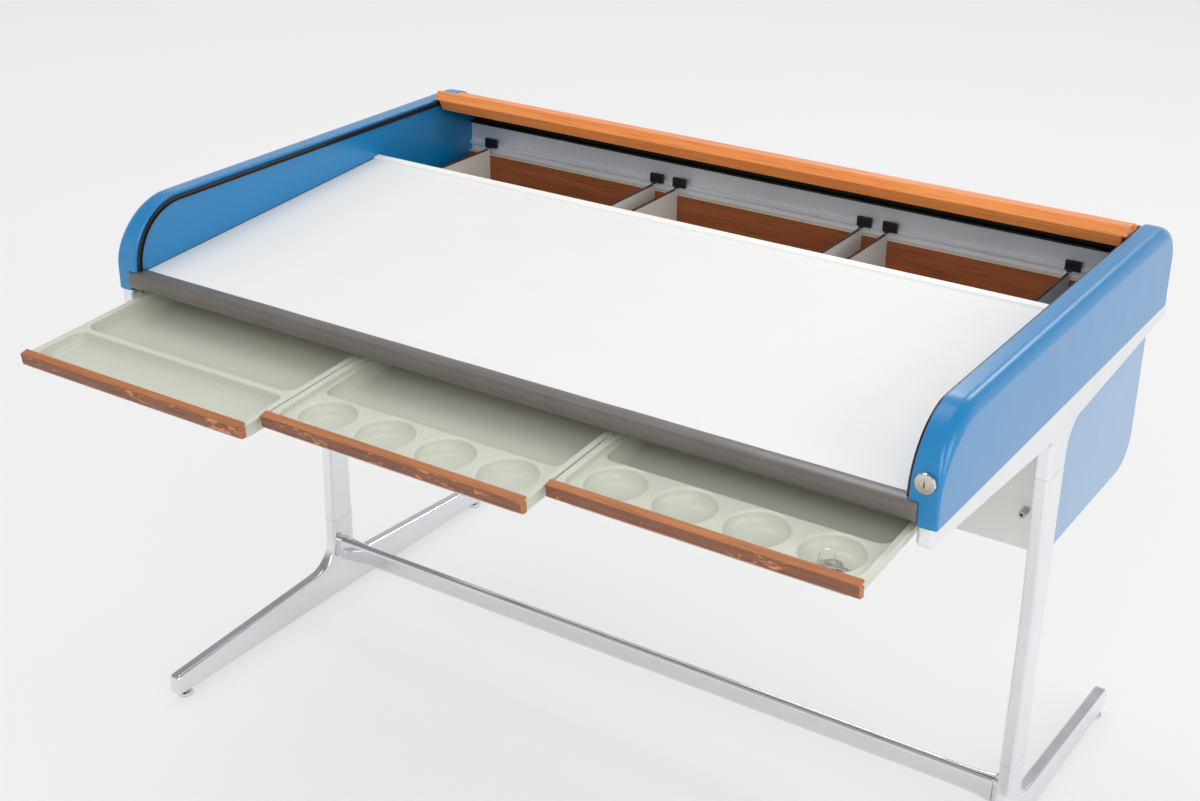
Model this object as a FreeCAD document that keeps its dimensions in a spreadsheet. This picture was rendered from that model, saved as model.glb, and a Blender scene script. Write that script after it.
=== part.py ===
import FreeCAD, Part
import math
import os
import re
import Sketcher

# Driving sizes in millimetres. Heights are above the floor and depths are
# measured back from the front face of the end panels.
DIMENSIONS = [
    ("desk_width", 1245, "width across the end panels"),
    ("arm_top", 699, "height of the top of the legs"),
    ("panel_rise", 123, "height of an end panel"),
    ("panel_depth", 794, "depth of an end panel"),
    ("panel_thick", 36.5, "thickness of an end panel"),
    ("rabbet_deep", 13, "step cut into the panel for the worktop"),
    ("front_straight", 32, "straight front of an end panel below its curve"),
    ("rear_radius", 58, "back curve of an end panel"),
    ("edge_round", 12, "rounded outer edge of an end panel"),
    ("inner_round", 3, "rounded inner edge of an end panel"),
    ("track_inset", 2.5, "tambour track below the panel edge"),
    ("track_wide", 10, "width of the tambour track"),
    ("track_proud", 7, "track standing off the panel"),
    ("slot_wide", 5, "slot in the tambour track"),
    ("slot_deep", 5, "depth of the slot"),
    ("slope_rise", 0.0733, "rise of worktop and trays for each unit of depth"),
    ("worktop_rise", 27, "front edge of the worktop above the legs"),
    ("worktop_front", 21, "front edge of the worktop"),
    ("bin_mouth", 270, "back edge of the worktop to the back of the panels"),
    ("board_thick", 19, "worktop board"),
    ("laminate_thick", 1.5, "worktop laminate"),
    ("strip_wide", 10, "raised strip at the back of the worktop"),
    ("strip_proud", 3, "height of the raised strip"),
    ("armrest_front", -5, "front of the armrest"),
    ("armrest_tall", 24.5, "height of the armrest"),
    ("armrest_round", 11, "rounded front of the armrest"),
    ("tray_margin", 5, "outer trays to the end panels"),
    ("tray_gap", 3, "gap between trays"),
    ("tray_clear", 130, "file bin depth position less the tray depth"),
    ("tray_tall", 28, "height of a tray"),
    ("tray_drop", 14, "gap from worktop board down to tray rim"),
    ("tray_wall", 3, "wall and flange thickness of a tray"),
    ("flange_wide", 7, "flange outside the tub of a tray"),
    ("rim_wide", 9.5, "rim of a tray, flange included"),
    ("tray_corner", 18, "corner radius of the tub"),
    ("deck_deep", 86, "front deck of a cup tray, before its compartment"),
    ("deck_drop", 7.5, "deck below the rim"),
    ("cup_radius", 36.7, "radius of a cup"),
    ("cup_deep", 17, "depth of a cup"),
    ("cup_margin", 58.5, "side of a tray to its first cup centre"),
    ("cup_set", 44.1, "cup centre behind the tray front"),
    ("trough_deep", 19, "pencil trough of the left tray"),
    ("trough_back", 81, "back of the pencil trough"),
    ("ridge_wide", 10, "ridge behind the pencil trough"),
    ("left_open", 0.591, "share of the left tray that is pulled out"),
    ("middle_open", 0.48, "share of the middle tray that is pulled out"),
    ("right_open", 0.3415, "share of the right tray that is pulled out"),
    ("pull_thick", 12, "thickness of a tray pull"),
    ("pull_tall", 21.5, "height of a tray pull"),
    ("pull_bevel", 2, "fall of the top of a pull"),
    ("pull_rise", 4.5, "pull above the rim of its tray"),
    ("rail_web", 1.4, "web of a tray rail"),
    ("rail_ledge", 2.3, "ledge of a tray rail"),
    ("leg_thick", 20, "thickness of a leg casting"),
    ("leg_inset", 3.5, "leg inside the outer face of the panel"),
    ("leg_round", 4.5, "rounded edges of a leg casting"),
    ("foot_front", 5, "front end of a foot"),
    ("foot_overhang", 11, "back end of a foot behind the panels"),
    ("foot_tip", 44, "height of the foot at its ends"),
    ("upright_front", 380, "front of an upright at the foot"),
    ("upright_deep", 50, "depth of an upright at the foot"),
    ("foot_joint", 152, "joint between foot and upright"),
    ("arm_drop", 102, "top of the legs to the joint of upright and arm"),
    ("arm_tip", 24, "height of the arm at its ends"),
    ("arm_root", 48, "height of the arm at the upright"),
    ("glide_tall", 10, "floor to the underside of a foot"),
    ("glide_radius", 9, "radius of a levelling glide"),
    ("stem_radius", 4, "radius of the glide stem"),
    ("foot_rail_tall", 36, "height of the foot rail"),
    ("foot_rail_deep", 15, "depth of the foot rail"),
    ("foot_rail_low", 79, "underside of the foot rail"),
    ("boss_proud", 8, "boss on the foot for the foot rail"),
    ("bin_deep", 339, "depth of the file bin"),
    ("bin_tall", 255, "top of the legs to the underside of the file bin"),
    ("bin_board", 12, "thickness of the bin panels"),
    ("bin_skin", 7, "thickness of the bin bottom"),
    ("bin_radius", 48, "lower back corner of the bin"),
    ("bin_back_rise", 56, "height of the rounded bin bottom at the back"),
    ("partition_inset", 31, "front of the walnut partition to the back of the panels"),
    ("partition_thick", 17.5, "thickness of the walnut partition"),
    ("file_rail_drop", 109, "top of the end panels to the underside of the file rail"),
    ("file_rail_tall", 48.5, "height of the file rail"),
    ("file_rail_set", 10, "face of the file rail behind the partition face"),
    ("file_rail_lip", 5.5, "lip standing off the file rail"),
    ("lip_rise", 11, "lip above the foot of the file rail"),
    ("lip_tall", 6, "height of the lip"),
    ("sheet_thick", 3, "wall of the file rail"),
    ("divider_thick", 3, "thickness of a file divider"),
    ("divider_lift", 26, "bottom of a file divider above the underside of the bin"),
    ("clip_wide", 23, "width of a divider clip"),
    ("bar_inset", 119, "front of the lead bar to the back of the panels"),
    ("bar_deep", 37, "depth of the lead bar"),
    ("bar_hang", 18, "lead bar below the top of the end panels"),
    ("bar_undercut", 10, "foot of the lead bar behind its nose"),
    ("bar_over", 14, "lead bar above the end panels"),
    ("ledge_deep", 24, "ledge behind the lead bar"),
    ("slat_wide", 16, "width of a tambour slat"),
    ("slat_thick", 8, "thickness of a tambour slat"),
    ("lock_rise", 53, "centre of the lock above the legs"),
    ("lock_radius", 12.5, "radius of the lock face"),
    ("plug_radius", 6, "radius of the lock plug"),
]

doc = FreeCAD.newDocument("office_desk")
sheet = doc.addObject("Spreadsheet::Sheet", "dims")
for row, (alias, value, meaning) in enumerate(DIMENSIONS, 1):
    sheet.set("A%d" % row, meaning)
    sheet.set("B%d" % row, str(value))
    sheet.setAlias("B%d" % row, alias)
doc.recompute()

# Sizes that follow from the driving sizes.
DERIVED = {
    "front_radius": "(panel_rise - front_straight)",
    "worktop_height": "(arm_top + worktop_rise)",
    "worktop_back": "(panel_depth - bin_mouth)",
    "tray_pitch": "((desk_width - 2*panel_thick + 2*rabbet_deep - 2*tray_margin)/3)",
    "tray_wide": "(tray_pitch - tray_gap)",
    "tray_depth": "(bin_front_at - tray_clear)",
    "cup_pitch": "((tray_wide - 2*cup_margin)/3)",
    "left_tray_out": "(tray_depth*left_open)",
    "middle_tray_out": "(tray_depth*middle_open)",
    "right_tray_out": "(tray_depth*right_open)",
    "foot_back": "(panel_depth + foot_overhang)",
    "arm_joint": "(arm_top - arm_drop)",
    "bin_front_at": "(panel_depth - bin_deep)",
    "bin_low": "(arm_top - bin_tall)",
    "bin_back_low": "(bin_low + bin_back_rise)",
    "partition_at": "(panel_depth - partition_inset)",
    "file_rail_low": "(arm_top + panel_rise - file_rail_drop)",
    "divider_low": "(bin_low + divider_lift)",
    "bar_front": "(panel_depth - bar_inset)",
    "bar_low": "(arm_top + panel_rise - bar_hang)",
    "lock_height": "(arm_top + lock_rise)",
}


def any_word(words):
    return re.compile(r"\b(%s)\b" % "|".join(words))


ALIASES = any_word(alias for alias, value, meaning in DIMENSIONS)
FOLLOWERS = any_word(DERIVED)
NODES = []


def spelled_out(expression):
    """An expression with its derived sizes written as driving sizes."""
    while FOLLOWERS.search(expression):
        expression = FOLLOWERS.sub(lambda found: DERIVED[found.group()], expression)
    return expression


def size(expression):
    """Value in millimetres of an expression on the sheet."""
    return float(sheet.evalExpression(spelled_out(expression)))


def bound(expression):
    """The same expression, as an object outside the sheet writes it."""
    return ALIASES.sub(r"dims.\1", spelled_out(expression))


# Positions that several pieces share, as expressions on the sheet.
HALF = "(desk_width/2)"
TILT = "atan(slope_rise)"
REST_FRONT = f"(left_tray_out + pull_thick*cos({TILT}) + (pull_rise - pull_bevel)*sin({TILT}))"
MIDDLE = f"((foot_back - {REST_FRONT})/2)"
PANEL_TOP = "(arm_top + panel_rise)"
PANEL_IN = f"({HALF} - panel_thick)"
LOWER_IN = f"({PANEL_IN} + rabbet_deep)"
TRACK_IN = f"({PANEL_IN} - track_proud)"
LEG_OUT = f"({HALF} - leg_inset)"
LEG_IN = f"({LEG_OUT} - leg_thick)"
UPRIGHT_BACK = "(upright_front + upright_deep)"
SEAT = 0.3


def top_at(depth):
    """Height of the worktop surface at a depth."""
    return f"(worktop_height + slope_rise*(({depth}) - worktop_front))"


def under_at(depth):
    """Height of the underside of the worktop board at a depth."""
    return f"({top_at(depth)} - board_thick - laminate_thick)"


def rim_at(depth):
    """Height of the tray rims at a depth."""
    return f"({under_at(depth)} - tray_drop)"


def place(thing, x="0", y="0", z="0", tilted=False):
    """Put a piece at a desk position, leaning with the worktop when tilted."""
    if tilted:
        axis = FreeCAD.Vector(1, 0, 0)
        thing.Placement = FreeCAD.Placement(FreeCAD.Vector(), FreeCAD.Rotation(axis, 1))
        thing.setExpression(".Placement.Rotation.Angle", bound(TILT))
    thing.setExpression(".Placement.Base.x", bound(x))
    thing.setExpression(".Placement.Base.y", bound(f"{y} - {MIDDLE}"))
    thing.setExpression(".Placement.Base.z", bound(z))


def new_body(label):
    body = doc.addObject("PartDesign::Body", label)
    body.Label = label
    return body


def node(thing):
    """Keep a piece as one of the nodes that are written."""
    NODES.append(thing)
    return thing


def origin_feature(body, role):
    return [item for item in body.Origin.OriginFeatures if item.Role == role][0]


def new_sketch(body, plane, offset="0"):
    sketch = body.newObject("Sketcher::SketchObject", body.Name + "_sketch")
    sketch.AttachmentSupport = [(origin_feature(body, plane + "_Plane"), "")]
    sketch.MapMode = "FlatFace"
    if offset != "0":
        sketch.setExpression(".AttachmentOffset.Base.z", bound(offset))
    return sketch


def fix_point(sketch, geometry, end, across, up):
    """Hold one point of a sketch at a position given by two expressions."""
    for kind, expression in (("DistanceX", across), ("DistanceY", up)):
        constraint = Sketcher.Constraint(kind, -1, 1, geometry, end, size(expression))
        index = sketch.addConstraint(constraint)
        sketch.setExpression("Constraints[%d]" % index, bound(expression))


def outline(body, plane, corners, offset="0"):
    """Closed outline of straight lines, with a tangent arc at each corner
    that has a radius. Each corner is (across, up) or (across, up, radius)."""
    sketch = new_sketch(body, plane, offset)
    points = [FreeCAD.Vector(size(corner[0]), size(corner[1]), 0) for corner in corners]
    radii = [corner[2] if len(corner) > 2 else None for corner in corners]
    count = len(points)
    entry, leave, bend = [], [], []
    for index, point in enumerate(points):
        back = (points[index - 1] - point).normalize()
        ahead = (points[(index + 1) % count] - point).normalize()
        if radii[index] is None:
            entry.append(point)
            leave.append(point)
            bend.append(point)
            continue
        half_angle = back.getAngle(ahead)/2
        radius = size(radii[index])
        reach = radius/math.tan(half_angle)
        entry.append(point + back*reach)
        leave.append(point + ahead*reach)
        halfway = (back + ahead).normalize()
        distance = (reach**2 + radius**2)**0.5 - radius
        bend.append(point + halfway*distance)
    lines = []
    for index in range(count):
        segment = Part.LineSegment(leave[index], entry[(index + 1) % count])
        lines.append(sketch.addGeometry(segment))
    for index, corner in enumerate(corners):
        before, after = lines[index - 1], lines[index]
        if radii[index] is None:
            sketch.addConstraint(Sketcher.Constraint("Coincident", before, 2, after, 1))
            fix_point(sketch, after, 1, corner[0], corner[1])
            continue
        curve = Part.Arc(entry[index], bend[index], leave[index])
        arc = sketch.addGeometry(curve)
        arc_start = sketch.getPoint(arc, 1)
        near = 1 if (arc_start - entry[index]).Length < 1e-6 else 2
        mark = sketch.addGeometry(Part.Point(points[index]), True)
        fix_point(sketch, mark, 1, corner[0], corner[1])
        sketch.addConstraint(Sketcher.Constraint("PointOnObject", mark, 1, before))
        sketch.addConstraint(Sketcher.Constraint("PointOnObject", mark, 1, after))
        sketch.addConstraint(Sketcher.Constraint("Tangent", before, 2, arc, near))
        sketch.addConstraint(Sketcher.Constraint("Tangent", after, 1, arc, 3 - near))
        held = sketch.addConstraint(Sketcher.Constraint("Radius", arc, size(radii[index])))
        sketch.setExpression("Constraints[%d]" % held, bound(radii[index]))
    doc.recompute()
    return sketch


def circles(body, plane, spots, radius, offset="0"):
    """Sketch of equal circles at the given positions."""
    sketch = new_sketch(body, plane, offset)
    for across, up in spots:
        middle = FreeCAD.Vector(size(across), size(up), 0)
        ring = sketch.addGeometry(Part.Circle(middle, FreeCAD.Vector(0, 0, 1), size(radius)))
        fix_point(sketch, ring, 3, across, up)
        held = sketch.addConstraint(Sketcher.Constraint("Radius", ring, size(radius)))
        sketch.setExpression("Constraints[%d]" % held, bound(radius))
    doc.recompute()
    return sketch


def computed(item):
    """Recompute, and stop at once if this item came out unsound."""
    doc.recompute()
    if item.Shape.isNull() or not item.Shape.isValid():
        raise RuntimeError("bad shape: " + item.Label)
    return item


def feature(body, kind, sketch, length, flipped):
    made = body.newObject("PartDesign::" + kind, body.Name + "_" + kind.lower())
    made.Profile = sketch
    made.setExpression("Length", bound(length))
    made.Reversed = flipped
    return computed(made)


def pad(body, sketch, length, flipped=False):
    return feature(body, "Pad", sketch, length, flipped)


def pocket(body, sketch, length, flipped=False):
    """Cut a sketch into its body and stop if nothing was cut."""
    before = body.Shape.Volume
    made = feature(body, "Pocket", sketch, length, flipped)
    if not before - body.Shape.Volume > 0.01:
        raise RuntimeError("nothing cut in " + body.Label)
    return made


def soften(body, radius, wanted):
    """Fillet the edges of a body whose ends and middle all pass a test."""
    names = []
    base = body.Tip
    for index, edge in enumerate(base.Shape.Edges, 1):
        first, last = edge.ParameterRange
        spots = [edge.valueAt(first), edge.valueAt((first + last)/2), edge.valueAt(last)]
        if wanted(spots):
            names.append("Edge%d" % index)
    made = body.newObject("PartDesign::Fillet", body.Name + "_fillet")
    made.Base = (base, names)
    made.setExpression("Radius", bound(radius))
    return computed(made)


def all_near(spots, axis, value):
    return all(abs(getattr(spot, axis) - value) < 0.01 for spot in spots)


def bar_along_x(label, corners, start, length):
    """Piece with one outline in depth and height, running across the desk."""
    body = new_body(label)
    pad(body, outline(body, "YZ", corners), length)
    place(body, start)
    return node(body)


def turned(label, corners, plane, x, y, z):
    """Piece revolved about the upright axis of its sketch plane."""
    body = new_body(label)
    sketch = outline(body, plane, corners)
    made = body.newObject("PartDesign::Revolution", label + "_turn")
    made.Profile = sketch
    made.ReferenceAxis = (sketch, ["V_Axis"])
    made.Angle = 360
    doc.recompute()
    place(body, x, y, z)
    return body


def group(label, members):
    """Equal pieces kept as one node of separate solids."""
    made = doc.addObject("Part::Compound", label)
    made.Label = label
    made.Links = members
    return node(made)


# Legs: foot, upright and arm castings on each side.
FOOT_NECK = "(foot_tip + 25)"
FOOT_HEEL = "(foot_tip + 22)"
WAIST = "((foot_joint + arm_joint)/2)"
ARM_LOW = "(arm_top - arm_root)"
NECK_TOP_FRONT = "(upright_front - 9)"
RAIL_FRONT = "(upright_front + 11)"
RAIL_BACK = f"({RAIL_FRONT} + foot_rail_deep)"
GLIDE_SPOTS = {"front": "(foot_front + 22)", "rear": "(foot_back - 22)"}
STEM_LONG = "24"
STEM_PLAY = "0.05"
BOSS_RIM = "2"
SOLE_ROUND = "5"
TOE_ROUND = "9"
NECK_ROUND = "50"
HEEL_ROUND = "36"
ARM_ROUND = "40"
WAIST_ROUND = "1500"


def leg_side(label, corners, side, keep_sharp):
    """Leg casting with softened side outlines, except at its joint planes."""
    start = f"-{LEG_OUT}" if side == "left" else LEG_IN
    body = bar_along_x(label, corners, start, "leg_thick")
    thick = size("leg_thick")
    joints = [size(height) for height in keep_sharp]

    def on_side_outline(spots):
        at_side = all_near(spots, "x", 0) or all_near(spots, "x", thick)
        return at_side and not any(all_near(spots, "z", height) for height in joints)

    soften(body, "leg_round", on_side_outline)
    return body


for side in ("left", "right"):
    foot = leg_side(side + "_foot", [
        ("foot_front", "glide_tall", SOLE_ROUND),
        ("foot_front", "foot_tip", TOE_ROUND),
        ("upright_front", FOOT_NECK, NECK_ROUND),
        ("upright_front", "foot_joint"),
        (UPRIGHT_BACK, "foot_joint"),
        (UPRIGHT_BACK, FOOT_HEEL, HEEL_ROUND),
        ("foot_back", "foot_tip", TOE_ROUND),
        ("foot_back", "glide_tall", SOLE_ROUND),
    ], side, ["foot_joint"])
    low, high = "foot_rail_low", "(foot_rail_low + foot_rail_tall)"
    boss = [
        (f"{RAIL_FRONT} - {BOSS_RIM}", f"{low} - {BOSS_RIM}", "foot_rail_deep/2"),
        (f"{RAIL_BACK} + {BOSS_RIM}", f"{low} - {BOSS_RIM}", "foot_rail_deep/2"),
        (f"{RAIL_BACK} + {BOSS_RIM}", f"{high} + {BOSS_RIM}", "foot_rail_deep/2"),
        (f"{RAIL_FRONT} - {BOSS_RIM}", f"{high} + {BOSS_RIM}", "foot_rail_deep/2"),
    ]
    if side == "left":
        pad(foot, outline(foot, "YZ", boss, "leg_thick"), "boss_proud")
    else:
        pad(foot, outline(foot, "YZ", boss), "boss_proud", True)
    spots = [("leg_thick/2", depth) for depth in GLIDE_SPOTS.values()]
    bore = circles(foot, "XY", spots, f"stem_radius + {STEM_PLAY}", "glide_tall")
    pocket(foot, bore, f"{STEM_LONG} + {SEAT}", True)
    leg_side(side + "_upright", [
        ("upright_front", f"foot_joint + {SEAT}"),
        ("upright_front + 5", WAIST, WAIST_ROUND),
        (NECK_TOP_FRONT, f"arm_joint - {SEAT}"),
        (UPRIGHT_BACK, f"arm_joint - {SEAT}"),
        (f"{UPRIGHT_BACK} - 3", WAIST, WAIST_ROUND),
        (UPRIGHT_BACK, f"foot_joint + {SEAT}"),
    ], side, [f"foot_joint + {SEAT}", f"arm_joint - {SEAT}"])
    leg_side(side + "_arm", [
        ("0", "arm_top - arm_tip", SOLE_ROUND),
        ("0", f"arm_top - {SEAT}"),
        ("foot_back - 3", f"arm_top - {SEAT}"),
        ("foot_back - 3", "arm_top - arm_tip", SOLE_ROUND),
        (UPRIGHT_BACK, ARM_LOW, ARM_ROUND),
        (UPRIGHT_BACK, "arm_joint"),
        (NECK_TOP_FRONT, "arm_joint"),
        (NECK_TOP_FRONT, ARM_LOW, TOE_ROUND),
    ], side, ["arm_joint", f"arm_top - {SEAT}"])
    for name, depth in GLIDE_SPOTS.items():
        centre = f"({LEG_IN} + leg_thick/2)"
        node(turned(f"glide_{name}_{side}", [
            ("0", "0"),
            ("glide_radius", "0", "1"),
            ("glide_radius", "glide_tall - 4", "2"),
            ("stem_radius", "glide_tall - 3"),
            ("stem_radius", f"glide_tall + {STEM_LONG}"),
            ("0", f"glide_tall + {STEM_LONG}"),
        ], "XZ", f"-{centre}" if side == "left" else centre, depth, "0"))

# Chrome foot rail: a flat oval tube from boss to boss.
RAIL_END = f"({LEG_IN} - boss_proud - {SEAT})"


def flat_oval(front, back, low, high, radius):
    return [(front, low, radius), (back, low, radius), (back, high, radius), (front, high, radius)]


rail_top = "(foot_rail_low + foot_rail_tall)"
foot_rail = bar_along_x("foot_rail", flat_oval(
    RAIL_FRONT, RAIL_BACK, "foot_rail_low", rail_top, "foot_rail_deep/2 - 0.2"),
    f"-{RAIL_END}", f"2*{RAIL_END}")
TUBE_WALL = "2"
hollow = outline(foot_rail, "YZ", flat_oval(
    f"{RAIL_FRONT} + {TUBE_WALL}", f"{RAIL_BACK} - {TUBE_WALL}",
    f"foot_rail_low + {TUBE_WALL}", f"{rail_top} - {TUBE_WALL}",
    f"foot_rail_deep/2 - {TUBE_WALL} - 0.2"))
pocket(foot_rail, hollow, f"2*{RAIL_END}", True)

# End panels: rounded front and back, stepped inside for the worktop.
RABBET_BACK = "(worktop_back + 4)"
RABBET_GAP = "0.6"
NOTCH_BACK = "(worktop_front + 0.5)"
ARMREST_TOP = "(worktop_height + 1.5)"
NOTCH_TOP = f"({ARMREST_TOP} + 0.7)"
LOCK_X = f"({HALF} - panel_thick/2)"
BARREL_RADIUS = "(plug_radius + 3)"
BARREL_LONG = "24"
CAM_LONG = "20"
CAM_THICK = "2.5"
CAM_HALF = "5"


def panel_line(inset):
    """Corners of the panel edge, moved in by an inset, without its bottom."""
    return [
        (inset, f"{PANEL_TOP} - {inset}", f"front_radius - {inset}"),
        (f"panel_depth - {inset}", f"{PANEL_TOP} - {inset}", f"rear_radius - {inset}"),
    ]


def end_panel(side):
    corners = [("0", "arm_top")] + panel_line("0") + [("panel_depth", "arm_top")]
    start = f"-{HALF}" if side == "left" else PANEL_IN
    body = bar_along_x(side + "_end_panel", corners, start, "panel_thick")
    thick = size("panel_thick")
    outer, inner = (0, thick) if side == "left" else (thick, 0)
    bottom = size("arm_top")
    soften(body, "edge_round", lambda spots: all_near(spots, "x", outer)
           and not all_near(spots, "z", bottom))
    soften(body, "inner_round", lambda spots: all_near(spots, "x", inner)
           and not all_near(spots, "z", bottom))
    step = [
        ("-1", "arm_top - 1"),
        (RABBET_BACK, "arm_top - 1"),
        (RABBET_BACK, f"{top_at(RABBET_BACK)} + {RABBET_GAP}"),
        (NOTCH_BACK, f"{top_at(NOTCH_BACK)} + {RABBET_GAP}"),
        (NOTCH_BACK, NOTCH_TOP),
        ("-1", NOTCH_TOP),
    ]
    if side == "left":
        pocket(body, outline(body, "YZ", step, "panel_thick"), "rabbet_deep")
    else:
        pocket(body, outline(body, "YZ", step), "rabbet_deep", True)
    return body


end_panel("left")
right_panel = end_panel("right")
lock_bore = circles(right_panel, "XZ", [("panel_thick/2", "lock_height")], f"{BARREL_RADIUS} + 0.05")
pocket(right_panel, lock_bore, f"{BARREL_LONG} + {SEAT}")
cam_room = outline(right_panel, "YZ", [
    (BARREL_LONG, f"lock_height - {CAM_HALF} - 4"),
    (f"{BARREL_LONG} + {CAM_THICK} + 3", f"lock_height - {CAM_HALF} - 4"),
    (f"{BARREL_LONG} + {CAM_THICK} + 3", f"lock_height + {CAM_LONG} + 2"),
    (BARREL_LONG, f"lock_height + {CAM_LONG} + 2"),
])
pocket(right_panel, cam_room, f"panel_thick/2 + {CAM_HALF} + 4", True)

# Tambour tracks: slotted bands that follow the panel edge and run on down
# the inside of the bin.
TRACK_START = f"({NOTCH_TOP} + 0.3)"
TRACK_END = "(bin_back_low + 2)"
SLOT_INSET = "(track_inset + (track_wide - slot_wide)/2)"


def band(inset, wide):
    """Band along the panel edge, from an inset inwards."""
    far = f"({inset} + {wide})"
    outside, inside = panel_line(inset), panel_line(far)
    return ([(inset, TRACK_START)] + outside + [(f"panel_depth - {inset}", TRACK_END)]
            + [(f"panel_depth - {far}", TRACK_END)] + inside[::-1] + [(far, TRACK_START)])


for side in ("left", "right"):
    start = f"-{PANEL_IN}" if side == "left" else TRACK_IN
    track = bar_along_x(side + "_tambour_track", band("track_inset", "track_wide"),
                        start, "track_proud")
    if side == "left":
        slot = outline(track, "YZ", band(SLOT_INSET, "slot_wide"), "track_proud")
        pocket(track, slot, "slot_deep")
    else:
        pocket(track, outline(track, "YZ", band(SLOT_INSET, "slot_wide")), "slot_deep", True)

# Worktop: board, laminate, raised strip and vinyl armrest.
TOP_HALF = f"({LOWER_IN} - 0.5)"


def sloped(front, back, drop, thick):
    """Slab under the worktop surface, from a drop down by a thickness."""
    return [
        (front, f"{top_at(front)} - {drop} - {thick}"),
        (back, f"{top_at(back)} - {drop} - {thick}"),
        (back, f"{top_at(back)} - {drop}"),
        (front, f"{top_at(front)} - {drop}"),
    ]


bar_along_x("worktop_board", sloped("worktop_front", "worktop_back", "laminate_thick", "board_thick"),
            f"-{TOP_HALF}", f"2*{TOP_HALF}")
STRIP_FRONT = "(worktop_back - strip_wide)"
STRIP_BACK = "(worktop_back + 3)"
STRIP_HALF = f"({PANEL_IN} - 1)"
FACE_HALF = f"({PANEL_IN} - 0.5)"
bar_along_x("worktop_laminate", sloped("worktop_front", f"({STRIP_FRONT} - 0.1)", "0", "laminate_thick"),
            f"-{FACE_HALF}", f"2*{FACE_HALF}")
bar_along_x("worktop_back_strip", [
    (STRIP_FRONT, f"{top_at(STRIP_FRONT)} - laminate_thick + 0.02"),
    (STRIP_BACK, f"{top_at(STRIP_BACK)} - laminate_thick + 0.02"),
    (STRIP_BACK, f"{top_at(STRIP_BACK)} + strip_proud", "1.2"),
    (STRIP_FRONT, f"{top_at(STRIP_FRONT)} + strip_proud", "1.2"),
], f"-{STRIP_HALF}", f"2*{STRIP_HALF}")
ARMREST_BACK = "(worktop_front - 0.2)"
bar_along_x("armrest", [
    ("armrest_front", f"{ARMREST_TOP} - armrest_tall", "armrest_round - 1"),
    (ARMREST_BACK, f"{ARMREST_TOP} - armrest_tall"),
    (ARMREST_BACK, ARMREST_TOP, "2"),
    ("armrest_front", ARMREST_TOP, "armrest_round"),
], f"-{TOP_HALF}", f"2*{TOP_HALF}")

# Trays: moulded tubs with a flange, drawn flat and laid on the slope.
TRAYS = {
    "left": ("-tray_pitch", "left_tray_out"),
    "middle": ("0", "middle_tray_out"),
    "right": ("tray_pitch", "right_tray_out"),
}
TUB_HALF = "(tray_wide/2 - flange_wide)"
WELL_HALF = "(tray_wide/2 - rim_wide)"
WELL_BACK = "(tray_depth - 6.5)"
WELL_FRONT = "4"
FLOOR_ROUND = "12"
EDGE_ROUND = "2"
CUP_ROUND = "15"
DECK_HALF = f"({TUB_HALF} - 2)"
PAN_HALF = f"({DECK_HALF} - 4.5)"
PAN_BACK = "(tray_depth - 10.5)"
TUB_FRONT = "0.5"


def rectangle(half, front, back, radius):
    """Rounded rectangle about the middle of a tray."""
    return [(f"-{half}", front, radius), (half, front, radius),
            (half, back, radius), (f"-{half}", back, radius)]


def well(tray, half, front, back, deep, radius, round_floor):
    """Sink a rounded well into a tray from its rim, and round its floor."""
    pocket(tray, outline(tray, "XY", rectangle(half, front, back, radius)), deep)
    floor = -size(deep)
    near, far = size(front), size(back)
    soften(tray, round_floor, lambda spots: all_near(spots, "z", floor)
           and all(near - 1 < spot.y < far + 1 for spot in spots))


def ease_mouths(tray, level, half, front, back):
    """Round the upper edges of the wells between two depths."""
    wide, near, far = size(half), size(front), size(back)
    soften(tray, EDGE_ROUND, lambda spots: all_near(spots, "z", level)
           and all(abs(spot.x) < wide + 0.5 and near - 0.5 < spot.y < far + 0.5 for spot in spots))


def tray_body(name):
    across, out = TRAYS[name]
    tray = new_body(f"{name}_tray")
    tub = outline(tray, "XY", rectangle(TUB_HALF, TUB_FRONT, "tray_depth - 4", "tray_corner"),
                  "-tray_tall")
    pad(tray, tub, "tray_tall - tray_wall")
    soften(tray, "8", lambda spots: all_near(spots, "z", -size("tray_tall")))
    flange = outline(tray, "XY", rectangle("(tray_wide/2)", "0", "tray_depth", "8"), "-tray_wall")
    pad(tray, flange, "tray_wall")
    soften(tray, "1.2", lambda spots: all_near(spots, "z", 0))
    floor = "tray_tall - tray_wall"
    if name == "left":
        well(tray, WELL_HALF, WELL_FRONT, "trough_back", "trough_deep", "14", "10")
        well(tray, WELL_HALF, "trough_back + ridge_wide", WELL_BACK, floor, "tray_corner", FLOOR_ROUND)
        ease_mouths(tray, 0, WELL_HALF, WELL_FRONT, WELL_BACK)
    else:
        well(tray, DECK_HALF, f"({TUB_FRONT} + 3)", "(tray_depth - 6)", "deck_drop", "tray_corner - 2", "0.8")
        well(tray, PAN_HALF, "deck_deep", PAN_BACK, floor, "tray_corner - 4", FLOOR_ROUND)
        deck = -size("deck_drop")
        ease_mouths(tray, deck, PAN_HALF, "deck_deep", PAN_BACK)
        ease_mouths(tray, 0, DECK_HALF, f"({TUB_FRONT} + 3)", "(tray_depth - 6)")
        spots = [(f"{step}*cup_pitch", "cup_set") for step in (-1.5, -0.5, 0.5, 1.5)]
        pocket(tray, circles(tray, "XY", spots, "cup_radius"), "deck_drop + cup_deep")
        for level, radius in ((deck - size("cup_deep"), CUP_ROUND), (deck, "3")):
            soften(tray, radius, lambda spots: all_near(spots, "z", level)
                   and (spots[0] - spots[2]).Length < 0.01)
    place(tray, across, f"-{out}", rim_at(f"-{out}"), True)
    return node(tray)


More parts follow.
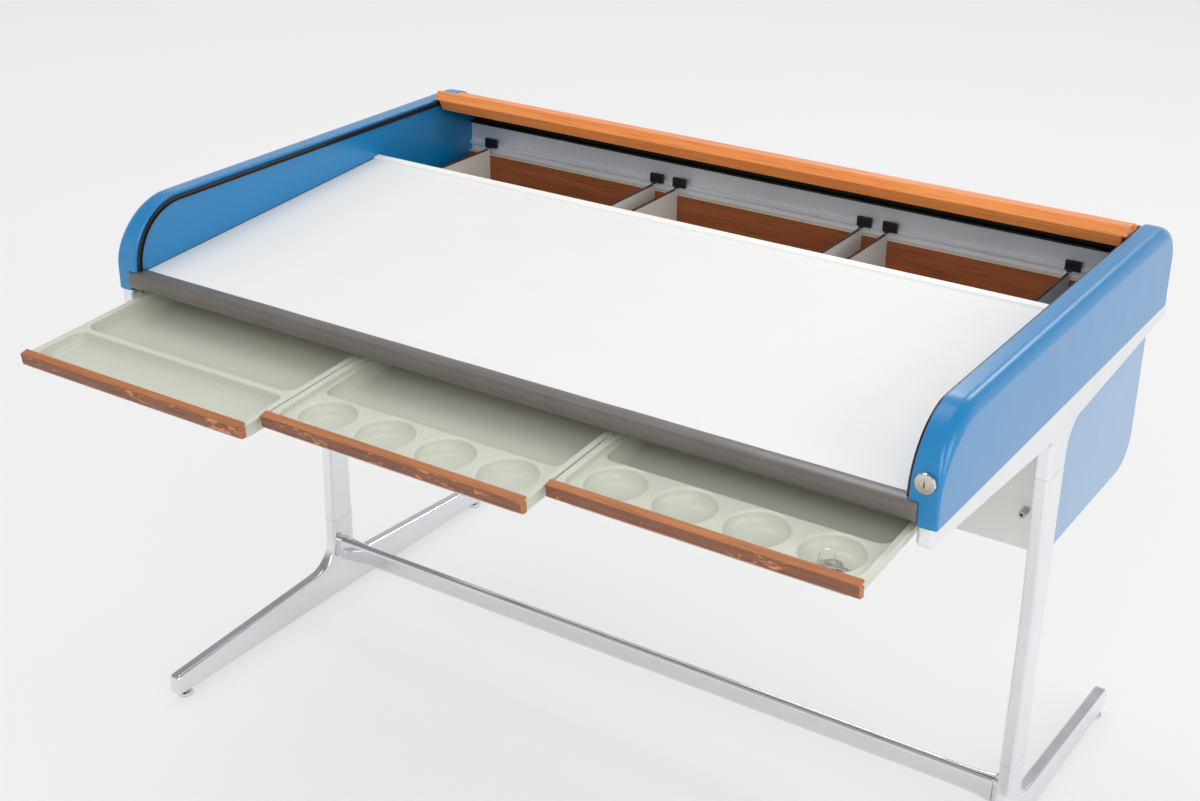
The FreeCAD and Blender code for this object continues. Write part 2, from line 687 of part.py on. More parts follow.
PULL_HALF = "(tray_wide/2 + 0.75)"
for name, (across, out) in TRAYS.items():
    tray_body(name)
    pull = new_body(f"{name}_pull")
    profile = outline(pull, "YZ", [
        (f"-{SEAT}", "pull_rise", "0.6"),
        ("-pull_thick", "pull_rise - pull_bevel", "1.2"),
        ("-pull_thick + 1", "pull_rise - pull_tall + 1", "5"),
        (f"-{SEAT}", "pull_rise - pull_tall", "1.5"),
    ], f"-{PULL_HALF}")
    pad(pull, profile, f"2*{PULL_HALF}")
    place(pull, across, f"-{out}", rim_at(f"-{out}"), True)
    node(pull)

# Tray rails: ledges under the tray flanges, hung from the worktop board.
RAIL_START = "(worktop_front + 1)"
RAIL_LONG = "(tray_depth - 8)"
LEDGE_TOP = f"(-tray_wall - {SEAT})"
LEDGE_LOW = f"({LEDGE_TOP} - rail_ledge)"
LEDGE_REACH = "(flange_wide - 0.6)"
for number, boundary in enumerate(("-1.5", "-0.5", "0.5", "1.5"), 1):
    rail = new_body(f"tray_rail_{number}")
    web = "(rail_web/2)"
    web_top = "(tray_drop - 0.2)"
    arm = f"(tray_gap/2 + {LEDGE_REACH})"
    left_arm = web if number == 1 else arm
    right_arm = web if number == 4 else arm
    section = [(f"-{left_arm}", LEDGE_LOW), (right_arm, LEDGE_LOW)]
    if number < 4:
        section += [(right_arm, LEDGE_TOP), (web, LEDGE_TOP)]
    section += [(web, web_top), (f"-{web}", web_top)]
    if number > 1:
        section += [(f"-{web}", LEDGE_TOP), (f"-{left_arm}", LEDGE_TOP)]
    pad(rail, outline(rail, "XZ", section), RAIL_LONG, True)
    place(rail, f"{boundary}*tray_pitch", RAIL_START, rim_at(RAIL_START), True)
    node(rail)

# File bin: grey front, J shaped bottom, blue ends and a walnut partition that
# parts the files from the tambour.
BIN_HALF = f"({PANEL_IN} - {SEAT})"
BIN_BACK = "panel_depth"
BIN_FLOOR = "(bin_low + bin_skin)"
BIN_FRONT_TOP = f"({under_at('bin_front_at')} - 0.5)"
bar_along_x("bin_front", [
    ("bin_front_at", "bin_low", "3"),
    ("bin_front_at + bin_board", "bin_low"),
    ("bin_front_at + bin_board", BIN_FRONT_TOP),
    ("bin_front_at", BIN_FRONT_TOP),
], f"-{BIN_HALF}", f"2*{BIN_HALF}")
BOTTOM_FRONT = f"(bin_front_at + bin_board + {SEAT})"
bar_along_x("bin_bottom", [
    (BOTTOM_FRONT, "bin_low"),
    (BIN_BACK, "bin_low", "bin_radius"),
    (BIN_BACK, "bin_back_low"),
    (f"{BIN_BACK} - bin_skin", "bin_back_low"),
    (f"{BIN_BACK} - bin_skin", BIN_FLOOR, "bin_radius - bin_skin"),
    (BOTTOM_FRONT, BIN_FLOOR),
], f"-{BIN_HALF}", f"2*{BIN_HALF}")
BIN_END_OUT = f"({LEG_IN} - {SEAT})"
for side in ("left", "right"):
    start = f"-{BIN_END_OUT}" if side == "left" else PANEL_IN
    bar_along_x(f"bin_{side}_end", [
        ("bin_front_at", "bin_low", "4"),
        (BIN_BACK, "bin_low", "bin_radius"),
        (BIN_BACK, f"arm_top - {SEAT}"),
        ("bin_front_at", f"arm_top - {SEAT}"),
    ], start, f"{BIN_END_OUT} - {PANEL_IN}")
PARTITION_BACK = "(partition_at + partition_thick)"
PARTITION_LOW = "(bin_back_low - 24)"
bar_along_x("walnut_partition", [
    ("partition_at", PARTITION_LOW),
    (PARTITION_BACK, PARTITION_LOW),
    (PARTITION_BACK, f"file_rail_low - {SEAT}"),
    ("partition_at", f"file_rail_low - {SEAT}"),
], f"-{BIN_HALF}", f"2*{BIN_HALF}")
stud_members = []
STUD_LONG = "16"
for sign in ("-", ""):
    stud = turned("bin_stud_left" if sign else "bin_stud_right", [
        ("2.5", f"-{STUD_LONG}"),
        ("5", f"-{STUD_LONG}", "0.8"),
        ("5", "0"),
        ("0", "0"),
        ("0", "-8"),
        ("2.5", "-8"),
    ], "XY", f"{sign}({BIN_HALF} - 18)", f"bin_front_at - {SEAT}", "bin_low + 59")
    stud_members.append(stud)
group("bin_studs", stud_members)

# File rails: an extrusion on the partition and a ledge behind the worktop.
RAIL_LOW = "file_rail_low"
RAIL_TOP = "(file_rail_low + file_rail_tall)"
RAIL_FACE = "(partition_at + file_rail_set)"
LIP_FRONT = f"({RAIL_FACE} - file_rail_lip)"
PLATE_BACK = f"({RAIL_FACE} + sheet_thick)"
LIP_LOW = f"({RAIL_LOW} + lip_rise)"
LIP_TOP = f"({LIP_LOW} + lip_tall)"
bar_along_x("file_rail", [
    (RAIL_FACE, RAIL_LOW),
    (PARTITION_BACK, RAIL_LOW),
    (PARTITION_BACK, f"{RAIL_LOW} + sheet_thick"),
    (PLATE_BACK, f"{RAIL_LOW} + sheet_thick"),
    (PLATE_BACK, f"{RAIL_TOP} - sheet_thick"),
    (PARTITION_BACK, f"{RAIL_TOP} - sheet_thick"),
    (PARTITION_BACK, RAIL_TOP),
    (RAIL_FACE, RAIL_TOP, "1.5"),
    (RAIL_FACE, LIP_TOP),
    (LIP_FRONT, LIP_TOP, "1"),
    (LIP_FRONT, LIP_LOW, "1"),
    (RAIL_FACE, LIP_LOW),
], f"-{BIN_HALF}", f"2*{BIN_HALF}")
LEDGE_FRONT = "(worktop_back + 0.2)"
LEDGE_BACK = "(worktop_back + 10)"
LEDGE_HEIGHT = "(file_rail_low + 1)"
HOOK_TOP = f"({top_at('worktop_back')} - laminate_thick - {SEAT})"
bar_along_x("front_file_rail", [
    (LEDGE_FRONT, f"{LEDGE_HEIGHT} - 2.5"),
    (LEDGE_BACK, f"{LEDGE_HEIGHT} - 2.5"),
    (LEDGE_BACK, LEDGE_HEIGHT),
    (f"{LEDGE_FRONT} + 2.5", LEDGE_HEIGHT),
    (f"{LEDGE_FRONT} + 2.5", HOOK_TOP),
    (LEDGE_FRONT, HOOK_TOP),
], f"-{BIN_HALF}", f"2*{BIN_HALF}")

# File dividers: each rests on the front ledge and has a clip against the lip
# of the file rail.
DIVIDER_SHARES = (-0.9244, -0.3563, -0.2840, 0.2737, 0.3461, 0.8309)
DIVIDER_TOP = "(file_rail_low + 11.5)"
TAB_LOW = f"({LEDGE_HEIGHT} + {SEAT})"
BOARD_FRONT = "(worktop_back + 12)"
BOARD_BACK = f"(partition_at - {SEAT})"
CLIP_LOW = f"({DIVIDER_TOP} + 1.5)"
CLIP_TOP = f"({CLIP_LOW} + 15)"
CLIP_FRONT = f"({LIP_FRONT} - 6)"
CLIP_BACK = f"({LIP_FRONT} - {SEAT})"
CLIP_SHIFT = "4"
NECK_WIDE = "7"
for number, share in enumerate(DIVIDER_SHARES, 1):
    across = f"{share}*{PANEL_IN}"
    bar_along_x(f"divider_{number}", [
        (BOARD_FRONT, "divider_low", "4"),
        (BOARD_BACK, "divider_low", "4"),
        (BOARD_BACK, DIVIDER_TOP),
        ("worktop_back + 4", DIVIDER_TOP),
        ("worktop_back + 4", TAB_LOW),
        (BOARD_FRONT, TAB_LOW),
    ], f"{across} - divider_thick/2", "divider_thick")
    clip = bar_along_x(f"divider_clip_{number}", [
        (CLIP_FRONT, CLIP_LOW, "1"),
        (CLIP_BACK, CLIP_LOW),
        (CLIP_BACK, CLIP_TOP),
        (CLIP_FRONT, CLIP_TOP, "2"),
    ], f"{across} + {CLIP_SHIFT} - clip_wide/2", "clip_wide")
    neck = outline(clip, "YZ", [
        (f"{CLIP_FRONT} - 3", f"{DIVIDER_TOP} + {SEAT}"),
        (f"{CLIP_FRONT} + 2", f"{DIVIDER_TOP} + {SEAT}"),
        (f"{CLIP_FRONT} + 3", f"{CLIP_LOW} + 3"),
        (CLIP_FRONT, f"{CLIP_LOW} + 3"),
    ], f"clip_wide/2 - {CLIP_SHIFT} - {NECK_WIDE}/2")
    pad(clip, neck, NECK_WIDE)

# Tambour: the lead bar with its ledge and guides, the slack canvas under the
# ledge, and the slats that stay on the back curve.
SLAT_INSET = "(track_inset + track_wide/2)"
BAR_BACK = "(bar_front + bar_deep)"
LOW_HALF = f"({TRACK_IN} - 1.5)"
LEDGE_LIFT = f"({PANEL_TOP} - {SLAT_INSET} + slat_thick/2 + 0.6)"
BAR_STEP = f"({PANEL_TOP} + 1)"
bar = bar_along_x("tambour_lead_bar", [
    ("bar_front + bar_undercut", "bar_low", "2"),
    (BAR_BACK, "bar_low", "2"),
    (BAR_BACK, LEDGE_LIFT),
    (f"{BAR_BACK} + ledge_deep", LEDGE_LIFT),
    (f"{BAR_BACK} + ledge_deep", BAR_STEP, "1"),
    ("bar_front", BAR_STEP),
], f"-{LOW_HALF}", f"2*{LOW_HALF}")
HIGH_EXTRA = f"({PANEL_IN} - 1 - {LOW_HALF})"
lip = outline(bar, "YZ", [
    ("bar_front", BAR_STEP),
    ("bar_front + 22", BAR_STEP),
    ("bar_front + 14", f"{PANEL_TOP} + bar_over - 1.5", "2"),
    ("bar_front + 7", f"{PANEL_TOP} + bar_over", "2"),
], f"-{HIGH_EXTRA}")
pad(bar, lip, f"2*{LOW_HALF} + 2*{HIGH_EXTRA}")
GUIDE_PLAY = "0.4"
GUIDE_LOW = f"({PANEL_TOP} - {SLAT_INSET} - slot_wide/2 + {GUIDE_PLAY})"
GUIDE_TALL = f"(slot_wide - 2*{GUIDE_PLAY})"
GUIDE_LONG = f"({TRACK_IN} + slot_deep - 0.5 - {LOW_HALF} - 0.1)"
guides = []
for sign in ("-", ""):
    guide = doc.addObject("Part::Box", "bar_guide_left" if sign else "bar_guide_right")
    guide.setExpression("Length", bound(GUIDE_LONG))
    guide.setExpression("Width", bound("bar_deep - 11"))
    guide.setExpression("Height", bound(GUIDE_TALL))
    start = f"(-{LOW_HALF} - 0.1 - {GUIDE_LONG})" if sign else f"({LOW_HALF} + 0.1)"
    place(guide, start, "bar_front + 9", GUIDE_LOW)
    guides.append(guide)
group("tambour_guides", guides)
bar_along_x("tambour_canvas", [
    (f"{BAR_BACK} + {SEAT}", f"{LEDGE_LIFT} - slat_thick - 0.5"),
    (f"{BAR_BACK} + ledge_deep - 1", f"{LEDGE_LIFT} - slat_thick - 0.5"),
    (f"{BAR_BACK} + ledge_deep - 1", f"{LEDGE_LIFT} - {SEAT}"),
    (f"{BAR_BACK} + {SEAT}", f"{LEDGE_LIFT} - {SEAT}"),
], f"-{LOW_HALF}", f"2*{LOW_HALF}")

SLAT_HALF = f"({TRACK_IN} - {SEAT})"
CURVE_Y = "(panel_depth - rear_radius)"
CURVE_Z = f"({PANEL_TOP} - rear_radius)"
CURVE_RADIUS = f"(rear_radius - {SLAT_INSET})"
SLAT_PITCH = "(slat_wide + 1.6)"
CURVE_SLATS = int(size(f"pi/2*({CURVE_RADIUS} - slat_thick/2)/slat_wide"))
BACK_SLATS = int(size(f"({CURVE_Z} - bin_back_low)/{SLAT_PITCH} + 0.01"))
slats = []


def slat(number):
    """One slat lying flat about its own middle, rounded on its outer face."""
    body = new_body("slat_%02d" % number)
    profile = outline(body, "YZ", [
        ("-slat_wide/2", "-slat_thick/2"),
        ("slat_wide/2", "-slat_thick/2"),
        ("slat_wide/2", "slat_thick/2", "3"),
        ("-slat_wide/2", "slat_thick/2", "3"),
    ])
    pad(body, profile, f"2*{SLAT_HALF}")
    slats.append(body)
    return body


def turn_back(thing, degrees):
    """Lean a slat over towards the back of the desk."""
    axis = FreeCAD.Vector(1, 0, 0)
    thing.Placement = FreeCAD.Placement(FreeCAD.Vector(), FreeCAD.Rotation(axis, -degrees))


for number in range(CURVE_SLATS):
    lean = 90*(number + 0.5)/CURVE_SLATS
    piece = slat(number + 1)
    turn_back(piece, lean)
    place(piece, f"-{SLAT_HALF}", f"{CURVE_Y} + {CURVE_RADIUS}*sin({lean})",
          f"{CURVE_Z} + {CURVE_RADIUS}*cos({lean})")
for number in range(BACK_SLATS):
    piece = slat(CURVE_SLATS + number + 1)
    turn_back(piece, 90)
    place(piece, f"-{SLAT_HALF}", f"panel_depth - {SLAT_INSET}",
          f"{CURVE_Z} - ({number} + 0.5)*{SLAT_PITCH}")
group("tambour_back_slats", slats)

# Lock on the right end panel: housing, turning plug and cam.
PLUG_PLAY = "0.05"
FACE_PROUD = "2.6"
node(turned("lock_housing", [
    (f"plug_radius + {PLUG_PLAY}", f"-{FACE_PROUD}"),
    ("lock_radius - 1", f"-{FACE_PROUD}", "0.8"),
    ("lock_radius", "-0.05"),
    (BARREL_RADIUS, "-0.05"),
    (BARREL_RADIUS, BARREL_LONG),
    (f"plug_radius + {PLUG_PLAY}", BARREL_LONG),
], "XY", LOCK_X, "0", "lock_height"))
plug = node(turned("lock_plug", [
    ("0", f"-{FACE_PROUD} - 0.4"),
    ("plug_radius", f"-{FACE_PROUD} - 0.4", "0.5"),
    ("plug_radius", f"{BARREL_LONG} + 0.2"),
    ("0", f"{BARREL_LONG} + 0.2"),
], "XY", LOCK_X, "0", "lock_height"))
KEYWAY_HALF = "0.9"
keyway = outline(plug, "XZ", [
    (f"-{KEYWAY_HALF}", "-4"),
    (KEYWAY_HALF, "-4"),
    (KEYWAY_HALF, "4"),
    (f"-{KEYWAY_HALF}", "4"),
], f"{FACE_PROUD} + 1")
pocket(plug, keyway, "9")
cam = new_body("lock_cam")
cam_shape = outline(cam, "XZ", [
    (f"-{CAM_HALF}", f"-{CAM_HALF}", "4.5"),
    (CAM_HALF, f"-{CAM_HALF}", "4.5"),
    (CAM_HALF, CAM_LONG, "2"),
    (f"-{CAM_HALF}", CAM_LONG, "2"),
])
pad(cam, cam_shape, CAM_THICK, True)
place(cam, LOCK_X, f"{BARREL_LONG} + {SEAT} + 0.2", "lock_height")
node(cam)

# Two keys on a ring in the last cup of the right tray, drawn in tray axes.
KEY_SPAN = "21"
KEY_THICK = "1.8"
RING_RADIUS = "10"
WIRE_RADIUS = "0.9"
KEYS_AT = "(tray_pitch + 1.5*cup_pitch)"
KEYS_DEPTH = f"(-right_tray_out + cup_set*cos({TILT}))"
FLOOR_DEEP = "(deck_drop + cup_deep)"
FLOOR_DEPTH = f"({KEYS_DEPTH} + {FLOOR_DEEP}*sin({TILT}))"
FLOOR_HIGH = f"({rim_at(KEYS_DEPTH)} - {FLOOR_DEEP}*cos({TILT}))"
RING_RISE = f"(({RING_RADIUS} + {WIRE_RADIUS})*sin({TILT}) + {WIRE_RADIUS} + 0.1)"
KEY_RISE = f"({RING_RISE} + {WIRE_RADIUS} + 0.1)"
ring = doc.addObject("Part::Torus", "key_ring")
ring.setExpression("Radius1", RING_RADIUS)
ring.setExpression("Radius2", WIRE_RADIUS)
place(ring, KEYS_AT, FLOOR_DEPTH, f"{FLOOR_HIGH} + {RING_RISE}")
key_members = [ring]
for number, turn in ((1, 25), (2, -40)):
    key = new_body("key_%d" % number)
    blank = outline(key, "XY", [
        (f"-{KEY_SPAN}", "-7", "6"),
        ("-5", "-7", "6"),
        ("-5", "-3"),
        (KEY_SPAN, "-3", "1"),
        (KEY_SPAN, "3", "2"),
        ("-5", "3"),
        ("-5", "7", "6"),
        (f"-{KEY_SPAN}", "7", "6"),
    ])
    pad(key, blank, KEY_THICK)
    key.Placement = FreeCAD.Placement(FreeCAD.Vector(),
                                      FreeCAD.Rotation(FreeCAD.Vector(0, 0, 1), turn))
    place(key, KEYS_AT, FLOOR_DEPTH, f"{FLOOR_HIGH} + {KEY_RISE} + {number - 1}*({KEY_THICK} + 0.2)")
    key_members.append(key)
group("keys", key_members)

# Every object must be sound before anything is written.
doc.recompute()
for item in doc.Objects:
    if "Invalid" in item.State or "Error" in item.State:
        raise RuntimeError("not computed: " + item.Label)
os.makedirs("parts", exist_ok=True)
for item in NODES:
    if item.Shape.isNull() or not item.Shape.isValid():
        raise RuntimeError("bad shape: " + item.Label)
    item.Shape.exportStep("parts/%s.step" % item.Label)
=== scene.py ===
import math

import bmesh
import bpy
from mathutils import Matrix, Vector


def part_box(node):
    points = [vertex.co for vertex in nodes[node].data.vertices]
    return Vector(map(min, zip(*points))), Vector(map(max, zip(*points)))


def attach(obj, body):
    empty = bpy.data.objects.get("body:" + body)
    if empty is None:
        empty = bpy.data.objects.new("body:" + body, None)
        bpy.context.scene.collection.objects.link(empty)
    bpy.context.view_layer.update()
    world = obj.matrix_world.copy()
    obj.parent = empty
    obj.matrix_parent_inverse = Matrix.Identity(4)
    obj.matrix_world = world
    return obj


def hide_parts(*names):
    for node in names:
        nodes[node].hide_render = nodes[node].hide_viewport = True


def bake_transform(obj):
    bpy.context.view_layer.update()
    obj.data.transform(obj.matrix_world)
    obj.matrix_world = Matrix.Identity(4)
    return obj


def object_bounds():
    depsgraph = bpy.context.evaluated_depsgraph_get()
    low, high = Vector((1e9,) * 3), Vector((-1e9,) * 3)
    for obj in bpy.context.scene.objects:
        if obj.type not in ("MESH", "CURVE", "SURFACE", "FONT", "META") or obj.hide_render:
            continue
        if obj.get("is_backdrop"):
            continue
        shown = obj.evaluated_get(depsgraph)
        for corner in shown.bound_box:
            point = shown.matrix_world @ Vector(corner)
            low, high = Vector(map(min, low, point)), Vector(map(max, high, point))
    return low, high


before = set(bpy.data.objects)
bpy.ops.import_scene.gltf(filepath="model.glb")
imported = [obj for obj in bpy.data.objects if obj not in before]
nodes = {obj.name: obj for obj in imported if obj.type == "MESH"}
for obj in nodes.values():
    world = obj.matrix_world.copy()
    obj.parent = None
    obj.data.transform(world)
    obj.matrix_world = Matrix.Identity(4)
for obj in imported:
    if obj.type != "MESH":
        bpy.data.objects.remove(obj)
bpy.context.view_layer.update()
scene = bpy.context.scene
MM = 0.001


def linear(code):
    """Linear colour of an sRGB hex value."""
    parts = [int(code[i:i + 2], 16)/255 for i in (1, 3, 5)]
    return [p/12.92 if p <= 0.04045 else ((p + 0.055)/1.055)**2.4 for p in parts] + [1.0]


def add(tree, kind, sockets=None, **settings):
    """Add a node, set its properties, then set or link its input sockets."""
    made = tree.nodes.new("ShaderNode" + kind)
    for name, value in settings.items():
        setattr(made, name, value)
    for key, value in (sockets or {}).items():
        if isinstance(value, bpy.types.NodeSocket):
            tree.links.new(value, made.inputs[key])
        else:
            made.inputs[key].default_value = value
    return made


def new_finish(name, **sockets):
    """New material: its tree, its one shader with constant sockets set, and object space."""
    made = bpy.data.materials.new(name)
    made.use_nodes = True
    tree = made.node_tree
    shader = tree.nodes["Principled BSDF"]
    for key, value in sockets.items():
        shader.inputs[key.replace("_", " ")].default_value = value
    place = add(tree, "TexCoord").outputs["Object"]
    return made, tree, shader, place


def dress(tree, shader, colour, sheen, relief):
    """Lead a colour, a roughness and a relief to the shader."""
    for socket, source in (("Base Color", colour), ("Roughness", sheen), ("Normal", relief)):
        tree.links.new(source, shader.inputs[socket])


# Mix node sockets for colours: factor, first colour, second colour.
FACTOR, FIRST, SECOND = 0, 6, 7
MIXED = 2


def per(millimetres):
    """Pattern scale that repeats about once in a length."""
    return 1000/millimetres


def sprayed_lacquer(name, colour, shade, gloss):
    """Lacquer sprayed on wood: an even film with slight orange peel and soft gloss.

    The peel and the dust specks are drawn coarser than they are, so that they show.
    """
    made, tree, shader, place = new_finish(name, Coat_Weight=1.0, Coat_Roughness=0.27,
                                           Coat_IOR=1.58, Specular_IOR_Level=0.1)
    cloud = add(tree, "TexNoise", {"Vector": place, "Scale": per(240), "Detail": 3.0})
    tone = add(tree, "Mix", {FACTOR: cloud.outputs["Fac"], FIRST: linear(colour),
                             SECOND: linear(shade)}, data_type="RGBA")
    dust = add(tree, "TexNoise", {"Vector": place, "Scale": per(2.2), "Detail": 2.0})
    speck = add(tree, "MapRange", {"Value": dust.outputs["Fac"], "From Min": 0.73,
                                   "From Max": 0.80, "To Min": 0.0, "To Max": 0.16})
    worn = add(tree, "Mix", {FACTOR: speck.outputs["Result"], FIRST: tone.outputs[MIXED],
                             SECOND: linear("#9CC0DE")}, data_type="RGBA")
    film = add(tree, "TexNoise", {"Vector": place, "Scale": per(45), "Detail": 4.0})
    sheen = add(tree, "MapRange", {"Value": film.outputs["Fac"], "To Min": gloss - 0.05,
                                   "To Max": gloss + 0.07})
    peel = add(tree, "TexNoise", {"Vector": place, "Scale": per(3.5), "Detail": 1.0})
    bump = add(tree, "Bump", {"Height": peel.outputs["Fac"], "Strength": 0.05,
                              "Distance": 0.4*MM})
    dress(tree, shader, worn.outputs[MIXED], sheen.outputs["Result"], bump.outputs["Normal"])
    return made


def gritty_skin(name, colour, shade, rough, grit_mm, grit):
    """Moulded, pressed or painted skin: a fine grit, slight tone drift and rubbed patches.

    The grit is drawn as coarse as it needs to be to show.
    """
    made, tree, shader, place = new_finish(name, IOR=1.49)
    cloud = add(tree, "TexNoise", {"Vector": place, "Scale": per(90), "Detail": 5.0,
                                   "Roughness": 0.6})
    tone = add(tree, "Mix", {FACTOR: cloud.outputs["Fac"], FIRST: linear(colour),
                             SECOND: linear(shade)}, data_type="RGBA")
    rub = add(tree, "TexNoise", {"Vector": place, "Scale": per(28), "Detail": 6.0,
                                 "Roughness": 0.7})
    sheen = add(tree, "MapRange", {"Value": rub.outputs["Fac"], "From Min": 0.3, "From Max": 0.7,
                                   "To Min": rough - 0.012, "To Max": rough + 0.015})
    grain = add(tree, "TexNoise", {"Vector": place, "Scale": per(grit_mm), "Detail": 2.0})
    bump = add(tree, "Bump", {"Height": grain.outputs["Fac"], "Strength": grit,
                              "Distance": 0.2*MM})
    dress(tree, shader, tone.outputs[MIXED], sheen.outputs["Result"], bump.outputs["Normal"])
    return made


def chipped(tree, place, finish, bare):
    """Colour of a handled finish, chipped and scratched down to the fresh wood below."""
    drawn = add(tree, "Mapping", {"Vector": place, "Scale": (0.35, 1.0, 1.0)})
    chip = add(tree, "TexNoise", {"Vector": drawn.outputs["Vector"], "Scale": per(6),
                                  "Detail": 8.0, "Roughness": 0.72, "Distortion": 0.6})
    patch = add(tree, "TexNoise", {"Vector": place, "Scale": per(130), "Detail": 2.0})
    likely = add(tree, "MapRange", {"Value": patch.outputs["Fac"], "From Min": 0.35,
                                    "From Max": 0.65, "To Min": -0.12, "To Max": 0.06})
    both = add(tree, "Math", {0: chip.outputs["Fac"], 1: likely.outputs["Result"]},
               operation="ADD")
    gone = add(tree, "MapRange", {"Value": both.outputs[0], "From Min": 0.565,
                                  "From Max": 0.60, "To Min": 0.0, "To Max": 0.9})
    return add(tree, "Mix", {FACTOR: gone.outputs["Result"], FIRST: finish,
                             SECOND: linear(bare)}, data_type="RGBA")


def grained_wood(name, pale, mid, dark, rough, figure_mm, coat, bare=None):
    """Wood with its grain along the desk: drawn-out figure, dark pores and a thin finish.

    The pores are drawn wider than they are, so that they show.
    """
    made, tree, shader, place = new_finish(name, Coat_Weight=coat, Coat_Roughness=0.3, IOR=1.48)
    drawn = add(tree, "Mapping", {"Vector": place, "Scale": (0.05, 1.0, 1.0)})
    figure = add(tree, "TexNoise", {"Vector": drawn.outputs["Vector"], "Scale": per(figure_mm),
                                    "Detail": 4.0, "Distortion": 0.8})
    band = add(tree, "MapRange", {"Value": figure.outputs["Fac"], "From Min": 0.3,
                                  "From Max": 0.7})
    tone = add(tree, "Mix", {FACTOR: band.outputs["Result"], FIRST: linear(pale),
                             SECOND: linear(mid)}, data_type="RGBA")
    fine = add(tree, "Mapping", {"Vector": place, "Scale": (0.022, 1.0, 1.0)})
    pore = add(tree, "TexNoise", {"Vector": fine.outputs["Vector"], "Scale": per(1.5),
                                  "Detail": 3.0})
    line = add(tree, "MapRange", {"Value": pore.outputs["Fac"], "From Min": 0.52,
                                  "From Max": 0.72, "To Min": 0.0, "To Max": 0.75})
    body = add(tree, "Mix", {FACTOR: line.outputs["Result"], FIRST: tone.outputs[MIXED],
                             SECOND: linear(dark)}, data_type="RGBA")
    if bare:
        body = chipped(tree, place, body.outputs[MIXED], bare)
    sheen = add(tree, "MapRange", {"Value": pore.outputs["Fac"], "To Min": rough - 0.08,
                                   "To Max": rough + 0.12})
    bump = add(tree, "Bump", {"Height": pore.outputs["Fac"], "Strength": 0.18,
                              "Distance": -0.15*MM})
    dress(tree, shader, body.outputs[MIXED], sheen.outputs["Result"], bump.outputs["Normal"])
    return made


def polished_metal(name, colour, shade, low, high, stroke, stroke_mm, metallic=1.0):
    """Metal polished along one way: faint strokes and a slight tone drift."""
    made, tree, shader, place = new_finish(name, Metallic=metallic)
    cloud = add(tree, "TexNoise", {"Vector": place, "Scale": per(60), "Detail": 4.0})
    tone = add(tree, "Mix", {FACTOR: cloud.outputs["Fac"], FIRST: linear(colour),
                             SECOND: linear(shade)}, data_type="RGBA")
    drawn = add(tree, "Mapping", {"Vector": place, "Scale": stroke})
    mark = add(tree, "TexNoise", {"Vector": drawn.outputs["Vector"], "Scale": per(stroke_mm),
                                  "Detail": 2.0})
    sheen = add(tree, "MapRange", {"Value": mark.outputs["Fac"], "From Min": 0.3,
                                   "From Max": 0.7, "To Min": low, "To Max": high})
    bump = add(tree, "Bump", {"Height": mark.outputs["Fac"], "Strength": 0.02,
                              "Distance": 0.05*MM})
    dress(tree, shader, tone.outputs[MIXED], sheen.outputs["Result"], bump.outputs["Normal"])
    return made


# Strokes of the polish: along the desk, or alike in every direction.
ALONG = (0.03, 1.0, 1.0)
ROUND = (1.0, 1.0, 1.0)
# Blue lacquer: a deep even blue whose hard clear film goes pale at a low angle.
blue_lacquer = sprayed_lacquer("sprayed_blue_lacquer", "#0380BE", "#0379B3", gloss=0.36)
# Lacquer of the bin ends: the same film over the same blue painted paler, a painted reflection of
# the white room seen at a low angle.
bin_lacquer_painted_pale = sprayed_lacquer("blue_lacquer_with_painted_glare", "#7DA6CE", "#769FC7", gloss=0.42)
# Vinyl track: near black with a soft line of light along its edge.
track_black = gritty_skin("extruded_black_vinyl", "#1B1B1E", "#252528",
                          rough=0.28, grit_mm=6.0, grit=0.1)
# Laminate: an almost even white with a satin sheen.
laminate = gritty_skin("pressed_white_laminate", "#ECECEB", "#E8E8E7",
                       rough=0.48, grit_mm=1.2, grit=0.03)
# Ivory strip: whiter and a little glossier than the laminate.
strip_ivory = gritty_skin("extruded_ivory_vinyl", "#FAF9F6", "#F5F4EF",
                          rough=0.33, grit_mm=4.0, grit=0.05)
# Edging of the partition: aged cream, slightly soiled.
strip_cream = gritty_skin("extruded_cream_vinyl", "#E6E0CF", "#C9BFA6",
                          rough=0.45, grit_mm=6.0, grit=0.1)
# Tray styrene: dull grey green with a fine mould grit and a broad soft gloss.
tray_plastic = gritty_skin("moulded_grey_green_styrene", "#CFD2C5", "#CBCEC0",
                           rough=0.30, grit_mm=1.0, grit=0.02)
# Nylon clips: a dull deep black with a grainy skin.
clip_black = gritty_skin("moulded_black_nylon", "#0E0E10", "#18181A",
                         rough=0.45, grit_mm=1.5, grit=0.15)
# Tambour cloth: dull dark canvas with an open weave.
canvas_dark = gritty_skin("woven_dark_canvas", "#2B2927", "#211F1E",
                          rough=0.88, grit_mm=1.1, grit=0.6)
# Hardboard dividers: chalky white paint that lets a little of the board's pebble through.
divider_board = gritty_skin("painted_white_hardboard", "#ECEAE4", "#E2E0D8",
                            rough=0.55, grit_mm=2.0, grit=0.12)
# Bin enamel: smooth pale grey paint on sheet steel, slightly orange peeled.
bin_enamel = gritty_skin("stoved_grey_enamel", "#EBEEEA", "#E5E8E4",
                         rough=0.40, grit_mm=2.5, grit=0.08)
# Enamel of the tray rails: the same skin in a darker, duller grey.
rail_enamel = gritty_skin("stoved_dark_grey_enamel", "#8E908D", "#858784",
                          rough=0.45, grit_mm=2.5, grit=0.08)
# Particle board: tan and brown chips pressed together, rough and matt.
core_board = gritty_skin("pressed_particle_board", "#B7987A", "#8F7256",
                         rough=0.75, grit_mm=3.0, grit=0.4)
# Grey edging of every other divider: smooth, dark and faintly glossy.
dark_edge = gritty_skin("extruded_grey_vinyl", "#4A4744", "#3E3B39",
                        rough=0.4, grit_mm=3.0, grit=0.1)
